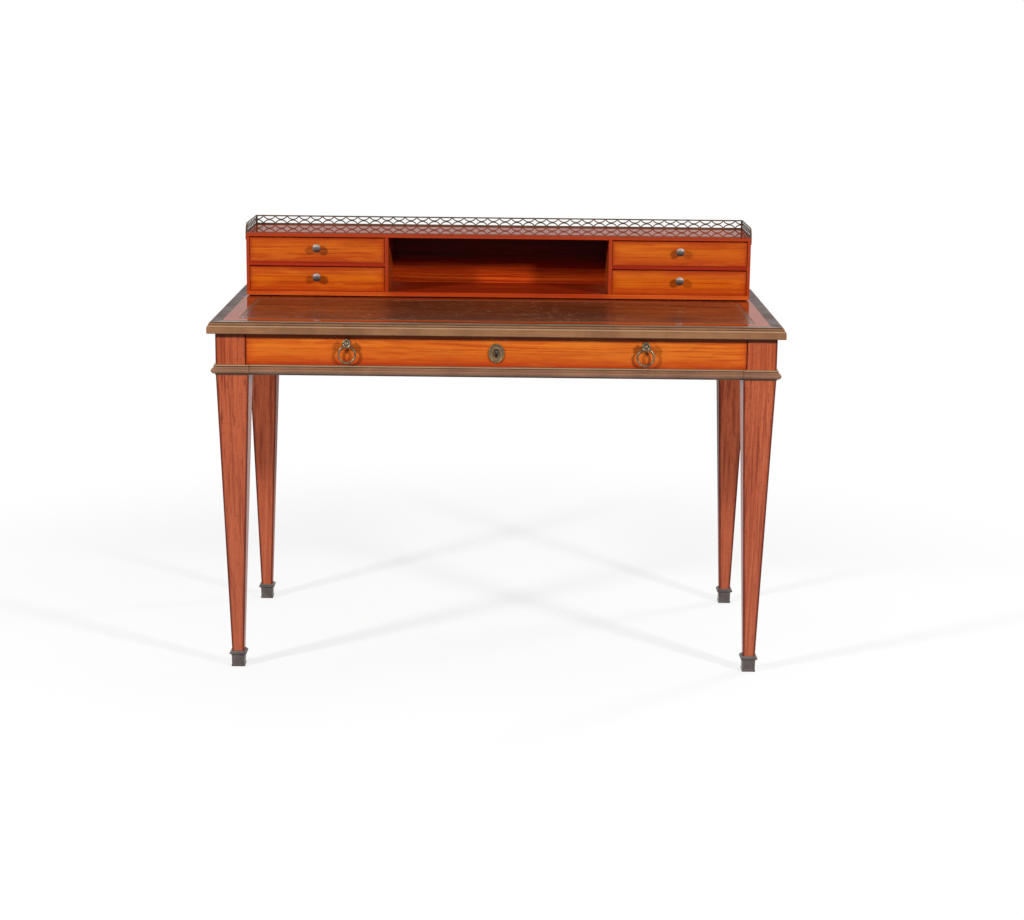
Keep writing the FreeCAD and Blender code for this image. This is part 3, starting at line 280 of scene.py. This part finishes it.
def grain(shader, axis, seed, tone):
    """Colour, pores and rings of a veneer whose grain runs along an axis.

    Growth rings are bands of equal depth: the place across the grain, bent by slow
    noise, picks its band from noise along one line. The bands fade in and out along the grain.
    """
    def figure(scales, shift, detail=3.0, roughness=0.6):
        along, across = scales
        scale = tuple(along if letter == axis else across for letter in "xyz")
        return shader.streaks(scale, seed + shift, detail, roughness)

    places = {"x": shader.x, "y": shader.y, "z": shader.z}
    across_grain = shader.math("ADD", *(places[letter] for letter in "xyz" if letter != axis))
    bend = figure(tone["bend"], 0.0, 2.0, 0.5)
    depth = shader.math("MULTIPLY_ADD", bend, tone["sway"], seed)
    band = shader.math("MULTIPLY_ADD", across_grain, tone["rings"], depth)
    ring = shader.line_noise(band, 4.0, tone["rough"])
    gap = figure(tone["gap"], 1.9)
    fine = figure(tone["lines"], 3.7)
    pores = figure(tone["dash"], 5.9, 2.0, 0.5)
    blush = figure(BLUSH_SCALE, 7.3, 4.0)
    cloud = figure(CLOUD_SCALE, 9.4, 2.0, 0.5)
    colour = shader.ramp(ring, (0.30, tone["dark"]), (0.41, tone["middle"]), (0.53, tone["warm"]),
                         (0.72, tone["light"]))
    colour = shader.mix(shader.spread(gap, 0.42, 0.60, 0.22, 1.0), tone["plain"], colour)
    colour = shader.mix(shader.spread(cloud, 0.42, 0.64, 0.0, tone["cloud"]), colour, tone["faded"])
    colour = shader.mix(shader.spread(blush, 0.50, 0.66, 0.0, tone["blush"]), colour, tone["middle"])
    colour = shader.mix(shader.spread(fine, 0.54, 0.34, 0.0, tone["fine"]), colour, tone["dark"])
    colour = shader.mix(shader.spread(pores, 0.42, 0.30, 0.0, tone["pores"]), colour, tone["pore"])
    return colour, pores, ring


def polished(shader, colour, pores, ring, gloss):
    """French polish over the veneer."""
    shader.set(Base_Color=colour, Roughness=shader.spread(ring, 0.2, 0.8, 0.48, 0.36),
               Specular_IOR_Level=0.0, Coat_Weight=gloss, Coat_Roughness=0.04, Coat_IOR=1.3)
    shader.bump(shader.spread(pores, 0.28, 0.40), POLISH_DEPTH, 0.3)


def veneer(name, axis, seed, tone, gloss=TOP_GLOSS):
    """Plain polished veneer."""
    shader = Shader(name)
    polished(shader, *grain(shader, axis, seed, tone), gloss)
    return shader.material


def bare_wood(name, axis, seed):
    """Dull wood of the drawers' insides."""
    shader = Shader(name)
    colour, pores, ring = grain(shader, axis, seed, LINING_TONE)
    shader.set(Base_Color=colour, Roughness=shader.spread(ring, 0.2, 0.8, 0.72, 0.58),
               Specular_IOR_Level=0.3)
    shader.bump(shader.spread(pores, 0.28, 0.40), BARE_WOOD_DEPTH, 0.6)
    return shader.material


def front_veneer(name, seed, tone):
    """Drawer front: level grain in broad patches, redder below, and darker along its rim."""
    shader = Shader("veneer_" + name)
    colour, pores, ring = grain(shader, "x", seed, tone)
    low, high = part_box(name)
    middle = (low + high) / 2
    size = high - low
    patch = shader.streaks((9.0, 9.0, 60.0), seed + 11.0)
    height = shader.math("MULTIPLY_ADD", patch, -LOWER_SWAY * size.z, shader.z)
    lower = shader.mark(height, low.z, [part * size.z for part in LOWER_PART], 0.62)
    colour = shader.mix(lower, colour, tone["deep"])
    colour = shader.mix(shader.spread(patch, 0.50, 0.66, 0.0, 0.45), colour, tone["light"])
    in_x = shader.math("SUBTRACT", size.x / 2, shader.away(shader.x, middle.x))
    in_z = shader.math("SUBTRACT", size.z / 2, shader.away(shader.z, middle.z))
    inset = shader.math("MULTIPLY_ADD", ring, RING_SWAY, shader.math("MINIMUM", in_x, in_z))
    broad = shader.math("MULTIPLY_ADD", patch, PATCH_SWAY, inset)
    colour = shader.mix(shader.mark(broad, 0.0, BROAD_RIM, 0.60), colour, tone["deep"])
    colour = shader.mix(shader.mark(inset, 0.0, NARROW_RIM, 0.50), colour, tone["dark"])
    polished(shader, colour, pores, ring, FRONT_GLOSS)
    return shader.material


def lipped_veneer(name, axis, seed):
    """Board of the gradin, redder on its narrow front edge."""
    shader = Shader("veneer_" + name)
    colour, pores, ring = grain(shader, axis, seed, GRADIN_TONE)
    lip = shader.mark(shader.y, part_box(name)[0].y, FRONT_LIP, 0.85)
    edge = shader.mix(shader.spread(ring, 0.3, 0.7), rgb(158, 47, 15), rgb(174, 59, 20))
    polished(shader, shader.mix(lip, colour, edge), pores, ring, BOARD_GLOSS)
    return shader.material


def leg_veneer(name, seed, gloss):
    """Upright veneer: deeper on the block beside the drawer, lighter towards the foot,
    with faint cracks and a dark line along each arris."""
    shader = Shader(name)
    colour, pores, ring = grain(shader, "z", seed, LEG_TONE)
    cracks = shader.streaks((120.0, 120.0, 230.0), seed + 13.0, 3.0, 0.65)
    colour = shader.mix(shader.spread(cracks, 0.47, 0.33, 0.0, 0.34), colour, LEG_TONE["dark"])
    # lighter towards the foot
    paler = shader.spread(shader.z, RAIL_LOW.z, SHOE_TOP, 0.0, 0.36, "LINEAR")
    colour = shader.mix(paler, colour, rgb(214, 118, 88))
    block = shader.mark(shader.z, RAIL_LOW.z, LEG_BLOCK, 0.26)
    colour = shader.mix(block, colour, rgb(164, 66, 12))
    centre = (LEG_LOW + LEG_HIGH) / 2
    block_half = (LEG_HIGH.x - LEG_LOW.x) / 2
    half = shader.spread(shader.z, SHOE_TOP, RAIL_LOW.z, LEG_FOOT_HALF, block_half, "LINEAR")
    from_x = shader.away(shader.math("ABSOLUTE", shader.x), centre.x)
    from_y = shader.away(shader.math("ABSOLUTE", shader.y), -centre.y)
    to_arris = shader.math("SUBTRACT", half, shader.math("MINIMUM", from_x, from_y))
    colour = shader.mix(shader.mark(to_arris, 0.0, ARRIS_LINE, 0.80), colour, rgb(72, 22, 16))
    polished(shader, colour, pores, ring, gloss)
    return shader.material


def back_veneer(name, seed):
    """Back of the open compartment: inside, with painted shade on its upper part and lighter below."""
    shader = Shader(name)
    colour, pores, ring = grain(shader, "x", seed, BACK_TONE)
    # painted shade over the upper part of the back's inner face
    high = shader.mark(shader.z, BACK_LOW.z, BACK_SHADE, 0.74)
    inside = shader.mark(shader.y, BACK_LOW.y, BACK_FACE)
    colour = shader.mix(shader.math("MULTIPLY", high, inside), colour, rgb(52, 8, 5))
    polished(shader, colour, pores, ring, COMPARTMENT_GLOSS)
    return shader.material


def base_veneer(name, seed):
    """Board under the small drawers.

    Its upper face, the floor of the compartment, is darkened as painted shade and has dusty corners.
    Its front edge is redder below the compartment, with painted shade along its foot.
    """
    shader = Shader(name)
    colour, pores, ring = grain(shader, "x", seed, CARCASE_TONE)
    from_middle = shader.math("ABSOLUTE", shader.x)
    # painted shade on the compartment's floor
    inside = shader.mark(shader.y, BASE_LOW.y, COMPARTMENT_FLOOR, 0.82)
    colour = shader.mix(inside, colour, rgb(140, 22, 8))
    corner = shader.mark(from_middle, WALL_X, DUSTY_CORNER, 0.50)
    dust = shader.spread(shader.streaks((40.0, 18.0, 18.0), seed + 2.0), 0.34, 0.60, 0.2, 1.0)
    dust = shader.math("MULTIPLY", shader.math("MULTIPLY", corner, inside), dust)
    colour = shader.mix(dust, colour, rgb(172, 104, 74))
    middle = shader.mark(from_middle, WALL_X, BELOW_COMPARTMENT, 0.60)
    middle = shader.math("MULTIPLY", middle, shader.math("SUBTRACT", 1.0, inside))
    colour = shader.mix(middle, colour, rgb(150, 38, 14))
    # painted shade along the foot of the front edge
    foot = shader.mark(shader.z, BASE_LOW.z, FOOT_SHADE, 0.40)
    colour = shader.mix(foot, colour, rgb(46, 10, 4))
    polished(shader, colour, pores, ring, FRONT_GLOSS)
    return shader.material


def top_veneer(name, seed):
    """Border of the top: the grain follows each side and meets on a mitre.

    The strip in front of the leather is painted brighter, as painted light. A dark band runs
    along the brass, and a painted shadow lies on the border in front of the gradin.
    """
    shader = Shader(name)
    along_x, pores, ring = grain(shader, "x", seed, SURFACE_TONE)
    along_y = grain(shader, "y", seed + 2.0, SURFACE_TONE)[0]
    past_x = shader.math("SUBTRACT", shader.math("ABSOLUTE", shader.x), LEATHER_HIGH.x)
    past_y = shader.math("SUBTRACT", shader.math("ABSOLUTE", shader.y), -LEATHER_LOW.y)
    colour = shader.mix(shader.math("GREATER_THAN", past_x, past_y), along_x, along_y)
    # painted light: the strip in front of the leather is made brighter and more orange
    strip = shader.mark(shader.y, LEATHER_LOW.y, FRONT_STRIP, 0.60)
    colour = shader.mix(strip, colour, rgb(190, 72, 14))
    # dark band on the border along the brass
    front_band = shader.mark(shader.y, WOOD_FRONT, FRONT_DARK_BAND, 0.88)
    # painted shadow on the border in front of the gradin
    gradin_shade = shader.mark(shader.y, BASE_LOW.y, SHADOW_BEFORE_GRADIN, 0.35)
    colour = shader.mix(shader.math("MAXIMUM", front_band, gradin_shade), colour, rgb(44, 17, 8))
    polished(shader, colour, pores, ring, TOP_GLOSS)
    return shader.material


# Metal

# Painted shade, partly dirt, for the quirks and undersides of the mouldings, and a painted highlight for
# their beads and arrises
SHADE_AND_DIRT = rgb(64, 46, 34)
PAINTED_HIGHLIGHT = rgb(190, 161, 134)
# Bands on the mouldings: height and half height in metres, share and tone
# Top moulding: painted shade in two quirks and along its lower edge, and a painted highlight on the arris
# above the fascia
TOP_BANDS = [
    (EDGE_HIGH.z - 0.0012, 0.0010, 0.80, SHADE_AND_DIRT),
    (EDGE_HIGH.z - 0.0060, 0.0007, 0.60, SHADE_AND_DIRT),
    (EDGE_HIGH.z - 0.0079, 0.0014, 0.45, PAINTED_HIGHLIGHT),
    (EDGE_LOW.z, 0.0018, 0.60, SHADE_AND_DIRT),
]
# Flat upper face of the top moulding: painted light, lighter on the front and painted darker on the sides
FRONT_FLAT = (EDGE_HIGH.z, 0.0003, 0.90, rgb(130, 106, 86))
SIDE_FLAT = (EDGE_HIGH.z, 0.0003, 0.88, rgb(72, 54, 47))
# Frieze moulding: painted highlights on the bead and the lower slope, and painted shade in the quirk and
# underneath
FRIEZE_BANDS = [
    (RAIL_HIGH.z - 0.0018, 0.0020, 0.45, rgb(187, 165, 124)),
    (RAIL_HIGH.z - 0.0041, 0.0011, 0.70, SHADE_AND_DIRT),
    (RAIL_LOW.z + 0.0120, 0.0020, 0.15, PAINTED_HIGHLIGHT),
    (RAIL_LOW.z, 0.0070, 0.75, SHADE_AND_DIRT),
]


def metal(name, light, dark, seed, rough=(0.28, 0.42), tarnish=0.4, scale=14.0, speckle=420.0,
          metallic=0.45, specular=0.5, tint=WHITE, bands=()):
    """Aged metal: broad tarnish, fine rub marks along its length and small dark specks.

    The patina scatters part of the light, so the surface is only partly metallic.
    Bands are painted shade, partly dirt, or painted highlights at a height on a moulding.
    """
    shader = Shader(name)
    cloud = shader.noise(scale, seed, 4.0)
    speck = shader.noise(speckle, seed + 2.0)
    rub = shader.streaks((9.0, 9.0, 420.0), seed + 4.0)
    colour = shader.mix(shader.spread(cloud, 0.30, 0.70, 0.15, 0.85), dark, light)
    colour = shader.mix(shader.spread(speck, 0.46, 0.30, 0.0, tarnish), colour, dark)
    colour = shader.mix(shader.spread(rub, 0.52, 0.36, 0.0, 0.30), colour, dark)
    # painted shade and painted highlights along the moulding's profile
    for height, half, share, tone in bands:
        band = shader.mark(shader.away(shader.z, height), 0.0, (half, 0.4 * half), share)
        colour = shader.mix(band, colour, tone)
    shader.set(Base_Color=colour, Metallic=metallic, Specular_IOR_Level=specular, Specular_Tint=tint,
               Roughness=shader.spread(cloud, 0.3, 0.7, rough[1], rough[0]))
    shader.bump(shader.math("ADD", speck, rub), METAL_DEPTH, 0.25)
    return shader.material


def top_brass(name, flat, tint=WHITE):
    """Moulding round the top, with its own tone on the flat upper face; as painted light, that face is
    lighter on the front and darker on the sides.
    """
    return metal(name, rgb(164, 118, 83), rgb(120, 83, 56), 1.0, metallic=0.36, specular=0.1, tint=tint,
                 bands=[flat] + TOP_BANDS)


def knob_metal(name, seed):
    """Satin knob, with a painted highlight along its upper rim and painted shade below."""
    low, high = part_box(name)
    middle = (low.z + high.z) / 2
    reach = (high.z - low.z) / 2
    # painted highlight on the upper rim and painted shade on the lower part
    bands = [(middle + 0.72 * reach, 0.55 * reach, 0.75, rgb(176, 160, 150)),
             (middle - 0.80 * reach, 0.70 * reach, 0.80, rgb(46, 36, 33))]
    return metal("satin_" + name, rgb(104, 90, 84), rgb(74, 62, 58), seed, rough=(0.36, 0.48), scale=90.0,
                 metallic=0.35, bands=bands)


def plate_metal(name, light, dark, seed):
    """Worn key plate: grainy, with a dark groove inside its rim and dirt round the keyhole."""
    shader = Shader(name)
    middle = (PLATE_LOW + PLATE_HIGH) / 2
    half = (PLATE_HIGH - PLATE_LOW) / 2
    wide = shader.math("DIVIDE", shader.x, half.x)
    tall = shader.math("DIVIDE", shader.math("SUBTRACT", shader.z, middle.z), half.z)
    square = shader.math("ADD", shader.math("MULTIPLY", wide, wide), shader.math("MULTIPLY", tall, tall))
    reach = shader.math("SQRT", square)
    speck = shader.noise(380.0, seed, 3.0, 0.65)
    colour = shader.mix(shader.spread(speck, 0.36, 0.62), dark, light)
    dirt = shader.math("ADD", shader.spread(reach, 0.62, 0.36, 0.0, 0.75),
                       shader.spread(speck, 0.60, 0.40, -0.2, 0.2))
    colour = shader.mix(dirt, colour, rgb(44, 30, 20))
    groove = shader.math("MULTIPLY", shader.spread(reach, 0.66, 0.74, 0.0, 0.6),
                         shader.spread(reach, 0.86, 0.78))
    colour = shader.mix(groove, colour, dark)
    shader.set(Base_Color=colour, Metallic=0.5, Roughness=shader.spread(speck, 0.3, 0.7, 0.50, 0.32))
    shader.bump(speck, PLATE_DEPTH, 0.5)
    return shader.material


# Leather

BORDER_WIDTH = 0.0125           # tooled band along the leather's edge, in metres
BORDER_FADE = (0.0015, -0.0015)  # its inner edge
USED_MIDDLE = (0.46, 0.16)      # from the middle to each side, where the hide turns browner
SCUFFED_MIDDLE = (0.50, 0.30)   # and where its scuffs are strongest
PEBBLE_SCALE = 900.0            # grains of the hide per metre
# Rounded edge of the leather: inset and depth below its face, in millimetres
ROUNDED_EDGE = [(0.0, 1.2), (0.0, 0.45), (0.25, 0.15), (0.7, 0.0)]
# Tooled grooves: inset of both sides, width of the slopes and depth, in millimetres
GROOVES = [(2.0, 3.2, 0.3, 0.28), (3.8, 9.2, 0.2, 0.14), (9.8, 11.0, 0.3, 0.28), (11.6, 12.3, 0.2, 0.20)]


def leather_material(name):
    """Old waxed hide: streaked, browner and scuffed in the middle, grey in its tooled band."""
    shader = Shader(name)
    middle = (LEATHER_LOW + LEATHER_HIGH) / 2
    half = (LEATHER_HIGH - LEATHER_LOW) / 2
    from_middle = shader.math("ABSOLUTE", shader.x)
    edge_x = shader.math("SUBTRACT", LEATHER_HIGH.x, from_middle)
    edge_y = shader.math("SUBTRACT", half.y, shader.away(shader.y, middle.y))
    edge = shader.math("MINIMUM", edge_x, edge_y)
    mottle = shader.streaks((6.0, 26.0, 26.0), 1.0, 5.0, 0.66)
    cloud = shader.streaks((4.0, 5.0, 5.0), 2.0, 3.0, 0.55)
    scuff = shader.streaks((44.0, 92.0, 92.0), 3.0, 3.0, 0.66)
    fleck = shader.streaks((120.0, 84.0, 84.0), 4.0, 2.0, 0.60)
    pebble = shader.add("ShaderNodeTexVoronoi", {"feature": "DISTANCE_TO_EDGE"}, Vector=shader.place,
                        Scale=PEBBLE_SCALE)
    colour = shader.ramp(mottle, (0.31, rgb(62, 27, 12)), (0.46, rgb(99, 45, 21)),
                         (0.58, rgb(122, 59, 30)), (0.72, rgb(140, 76, 44)))
    colour = shader.mix(shader.mark(from_middle, 0.0, USED_MIDDLE, 0.45), colour, rgb(62, 34, 17))
    worn = shader.math("MULTIPLY", shader.spread(cloud, 0.36, 0.58),
                       shader.spread(from_middle, *SCUFFED_MIDDLE, 0.35, 1.0))
    paler = shader.math("MULTIPLY", shader.spread(scuff, 0.57, 0.66, 0.0, 0.50), worn)
    colour = shader.mix(paler, colour, rgb(180, 124, 84))
    chips = shader.math("MULTIPLY", shader.spread(fleck, 0.63, 0.69, 0.0, 0.6), worn)
    colour = shader.mix(chips, colour, rgb(216, 176, 138))
    band = shader.mark(edge, BORDER_WIDTH, BORDER_FADE, 0.55)
    band = shader.math("MULTIPLY", band, shader.spread(scuff, 0.34, 0.60, 0.35, 1.0))
    colour = shader.mix(band, colour, rgb(122, 90, 68))
    shader.set(Base_Color=colour, Roughness=shader.spread(mottle, 0.3, 0.7, 0.36, 0.26),
               Specular_IOR_Level=0.06, Coat_Weight=0.09, Coat_Roughness=0.10, Coat_IOR=1.3)
    height = shader.math("ADD", pebble.outputs[0], shader.math("MULTIPLY", mottle, 0.4))
    shader.bump(height, HIDE_DEPTH, 0.25)
    return shader.material


def mesh_object(name, build, material):
    """New piece from a function that fills a bmesh."""
    work = bmesh.new()
    build(work)
    bmesh.ops.recalc_face_normals(work, faces=work.faces)
    mesh = bpy.data.meshes.new(name)
    work.to_mesh(mesh)
    work.free()
    mesh.materials.append(material)
    piece = bpy.data.objects.new(name, mesh)
    bpy.context.scene.collection.objects.link(piece)
    return piece


def leather_sheet(work):
    """Closed sheet with the tooled lines as nested grooves."""
    def ring(inset, z):
        x0, x1 = LEATHER_LOW.x + inset, LEATHER_HIGH.x - inset
        y0, y1 = LEATHER_LOW.y + inset, LEATHER_HIGH.y - inset
        return [work.verts.new(p) for p in ((x0, y0, z), (x1, y0, z), (x1, y1, z), (x0, y1, z))]

    section = list(ROUNDED_EDGE)
    for start, end, slope, depth in GROOVES:
        section += [(start, 0.0), (start + slope, depth), (end - slope, depth), (end, 0.0)]
    rings = [ring(0.0, LEATHER_LOW.z)]
    rings += [ring(inset / 1000, LEATHER_HIGH.z - depth / 1000) for inset, depth in section]
    for outer, inner in zip(rings, rings[1:]):
        for i in range(4):
            j = (i + 1) % 4
            work.faces.new((outer[i], outer[j], inner[j], inner[i]))
    work.faces.new(rings[-1])
    work.faces.new(rings[0])


leather = mesh_object("leather_writing_surface", leather_sheet, leather_material("waxed_leather"))
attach(leather, "desk")
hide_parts("leather_top")

# Finishes of the CAD pieces

FIRST_SEED = 3.0
SEED_STEP = 1.7
DRAWER_EDGE = 0.0006            # width of the softened edges, in metres
BOARD_EDGE = 0.0007
WELD_DISTANCE = 0.00001
SHARP_ANGLE = math.radians(40)
SOFT_BOARDS = ("gradin_side", "gradin_partition", "gradin_top", "gradin_dividers", "gradin_base")

# One brass in two copies, front and sides, that differ only by painted light on the flat face and a mauve
# tint on the sides' sheen
front_brass = top_brass("top_brass_front", FRONT_FLAT)
side_brass = top_brass("top_brass_sides", SIDE_FLAT, rgb(150, 136, 146))
frieze_brass = metal("frieze_brass", rgb(162, 116, 87), rgb(118, 81, 59), 2.0, bands=FRIEZE_BANDS)
gallery_brass = metal("gallery_brass", rgb(114, 94, 75), rgb(55, 42, 32), 7.0, rough=(0.30, 0.44),
                      tarnish=0.5, scale=60.0)
bronze = metal("dark_bronze", rgb(112, 102, 99), rgb(68, 60, 57), 3.0, rough=(0.34, 0.48), tarnish=0.5,
               scale=40.0)
fittings = metal("bronze_fittings", rgb(136, 119, 93), rgb(66, 52, 38), 4.0, rough=(0.28, 0.40),
                 tarnish=0.45, scale=90.0, speckle=600.0, metallic=0.6)
steel = metal("lock_steel", rgb(150, 150, 148), rgb(96, 94, 92), 5.0, rough=(0.30, 0.45), scale=90.0)
key_plate = plate_metal("worn_key_plate", rgb(142, 116, 80), rgb(84, 63, 41), 8.0)


def metal_finish(name, seed):
    """Material of a metal piece by its name, or None for wood."""
    if name.endswith("_knob"):
        return knob_metal(name, seed)
    if name.startswith("top_moulding"):
        return front_brass if name.endswith("front") else side_brass
    if "moulding" in name:
        return frieze_brass
    if name == "escutcheon":
        return key_plate
    starts = {"sabot_": bronze, "pull_": fittings, "lock_": steel, "gallery_": gallery_brass}
    return next((found for start, found in starts.items() if name.startswith(start)), None)


def wood_finish(name, seed):
    """Material of a wooden piece by its name."""
    title = "veneer_" + name
    if name.startswith("leg_"):
        return leg_veneer(title, seed, BACK_LEG_GLOSS if "back" in name else BOARD_GLOSS)
    if name.endswith("_front"):
        return front_veneer(name, seed, FRONT_TONE if name == "drawer_front" else SMALL_TONE)
    if name == "top_panel":
        return top_veneer("veneer_top", seed)
    if name == "gradin_back":
        return back_veneer(title, seed)
    if name == "gradin_base":
        return base_veneer(title, seed)
    if name == "gradin_dividers":
        return veneer(title, "x", seed, DIVIDER_TONE, DIVIDER_GLOSS)
    if name.startswith("gradin_"):
        return lipped_veneer(name, "x" if name == "gradin_top" else "z", seed)
    if name.startswith("side_rail"):
        return veneer(title, "y", seed, SURFACE_TONE)
    if name in ("back_rail", "drawer_rail"):
        return veneer(title, "x", seed, SURFACE_TONE)
    lengthwise = name.startswith(("drawer_side", "drawer_runners")) or name.endswith("_box")
    return bare_wood("lining_" + name, "y" if lengthwise else "x", seed)


def soften(name, width):
    """Takes the sharp edge off a wooden piece."""
    weld = nodes[name].modifiers.new("weld", "WELD")
    weld.merge_threshold = WELD_DISTANCE
    bevel = nodes[name].modifiers.new("soft_edges", "BEVEL")
    bevel.width = width
    bevel.segments = 2
    bevel.limit_method = "ANGLE"
    bevel.angle_limit = SHARP_ANGLE


for number, name in enumerate(sorted(nodes)):
    seed = FIRST_SEED + SEED_STEP * number
    materials = nodes[name].data.materials
    materials.clear()
    materials.append(metal_finish(name, seed) or wood_finish(name, seed))
    if name.endswith("_front") and "drawer" in name:
        soften(name, DRAWER_EDGE)
    elif name.startswith(SOFT_BOARDS):
        soften(name, BOARD_EDGE)

# Stage, light and camera

ROOM_LIGHT = 0.04               # strength of the world's light from the front
BACKDROP_LIGHT = 0.43           # and from behind
BACKDROP_FADE = (-0.5, 0.3)     # where the one turns into the other, by the direction's Y
FLOOR_TONE = rgb(248, 248, 248)
FLOOR_BOUNCE = rgb(120, 120, 120)
FLOOR_SIZE = 120.0              # metres from the middle to each side
SHADOW_START = 0.8              # the floor's shadows fade out between these distances, in metres
SHADOW_END = 2.0
SHADOW_WHITE = 0.76             # share of plain white close to the desk
LAMP_AIM = Vector((0.0, 0.0, 0.6))
# Name, place in metres, power in watts and width in metres
LAMPS = [
    ("soft_light_left", (-2.9, -2.45, 2.18), 124.0, 0.38),
    ("soft_light_right", (2.7, -2.7, 2.12), 116.0, 0.38),
    ("soft_light_back", (2.2, 1.3, 1.75), 20.0, 0.5),
]


def white_in_view(tree, white, lit, share=1.0):
    """White in reflections and, by a share, to the camera, and a lit shader for other rays."""
    path = tree.add("ShaderNodeLightPath").outputs
    direct = tree.math("MULTIPLY", path["Is Camera Ray"], share)
    mirrored = tree.math("MAXIMUM", path["Is Glossy Ray"], path["Is Transmission Ray"])
    both = tree.add("ShaderNodeMixShader", Fac=tree.math("MAXIMUM", direct, mirrored))
    tree.put(both.inputs[1], lit.outputs[0])
    tree.put(both.inputs[2], white.outputs[0])
    return both.outputs[0]


def stage_floor():
    """Pale sweep: white to the camera and in reflections, apart from the desk's soft shadows."""
    shader = Shader("pale_floor")
    bounced = shader.add("ShaderNodeLightPath").outputs["Is Diffuse Ray"]
    colour = shader.mix(bounced, FLOOR_TONE, FLOOR_BOUNCE)
    shader.set(Base_Color=colour, Roughness=0.9, Specular_IOR_Level=0.0)
    reach = shader.add("ShaderNodeVectorMath", {"operation": "LENGTH"})
    shader.put(reach.inputs[0], shader.place)
    share = shader.spread(reach.outputs["Value"], SHADOW_START, SHADOW_END, SHADOW_WHITE, 1.0)
    white = shader.add("ShaderNodeEmission", Color=WHITE, Strength=1.0)
    shader.put(shader.output.inputs["Surface"], white_in_view(shader, white, shader.surface, share))

    def plane(work):
        bmesh.ops.create_grid(work, x_segments=4, y_segments=4, size=FLOOR_SIZE)

    floor = mesh_object("studio_floor", plane, shader.material)


def stage_world():
    """White to the camera and in reflections; as a light, a pale backdrop behind and a dim room in front."""
    world = bpy.data.worlds.new("studio")
    bpy.context.scene.world = world
    world.use_nodes = True
    sky = Tree(world.node_tree)
    depth = sky.axes(sky.add("ShaderNodeTexCoord").outputs["Generated"])[1]
    strength = sky.spread(depth, *BACKDROP_FADE, ROOM_LIGHT, BACKDROP_LIGHT)
    lit = sky.add("ShaderNodeBackground", Color=WHITE, Strength=strength)
    white = sky.add("ShaderNodeBackground", Color=WHITE, Strength=1.0)
    sky.add("ShaderNodeOutputWorld", Surface=white_in_view(sky, white, lit))


def lamp(name, place, power, size):
    """Round soft light, aimed at the desk."""
    light = bpy.data.lights.new(name, "AREA")
    light.shape = "DISK"
    light.size = size
    light.energy = power
    piece = bpy.data.objects.new(name, light)
    piece.location = place
    aim = LAMP_AIM - piece.location
    piece.rotation_euler = aim.to_track_quat("-Z", "Y").to_euler()
    bpy.context.scene.collection.objects.link(piece)


def photo_camera():
    """Camera at the photograph's viewpoint."""
    data = bpy.data.cameras.new("camera")
    data.sensor_width = SENSOR_WIDTH
    data.lens = FOCAL_PIXELS / IMAGE_WIDTH * SENSOR_WIDTH
    camera = bpy.data.objects.new("camera", data)
    aim = Euler((math.pi / 2 - CAMERA_PITCH, 0.0, CAMERA_YAW)).to_matrix()
    turn = aim @ Matrix.Rotation(CAMERA_ROLL, 3, "Z")
    camera.matrix_world = Matrix.Translation(CAMERA_PLACE) @ turn.to_4x4()
    bpy.context.scene.collection.objects.link(camera)
    bpy.context.scene.camera = camera


stage_floor()
stage_world()
for settings in LAMPS:
    lamp(*settings)
photo_camera()
bpy.context.scene.view_settings.view_transform = "Standard"
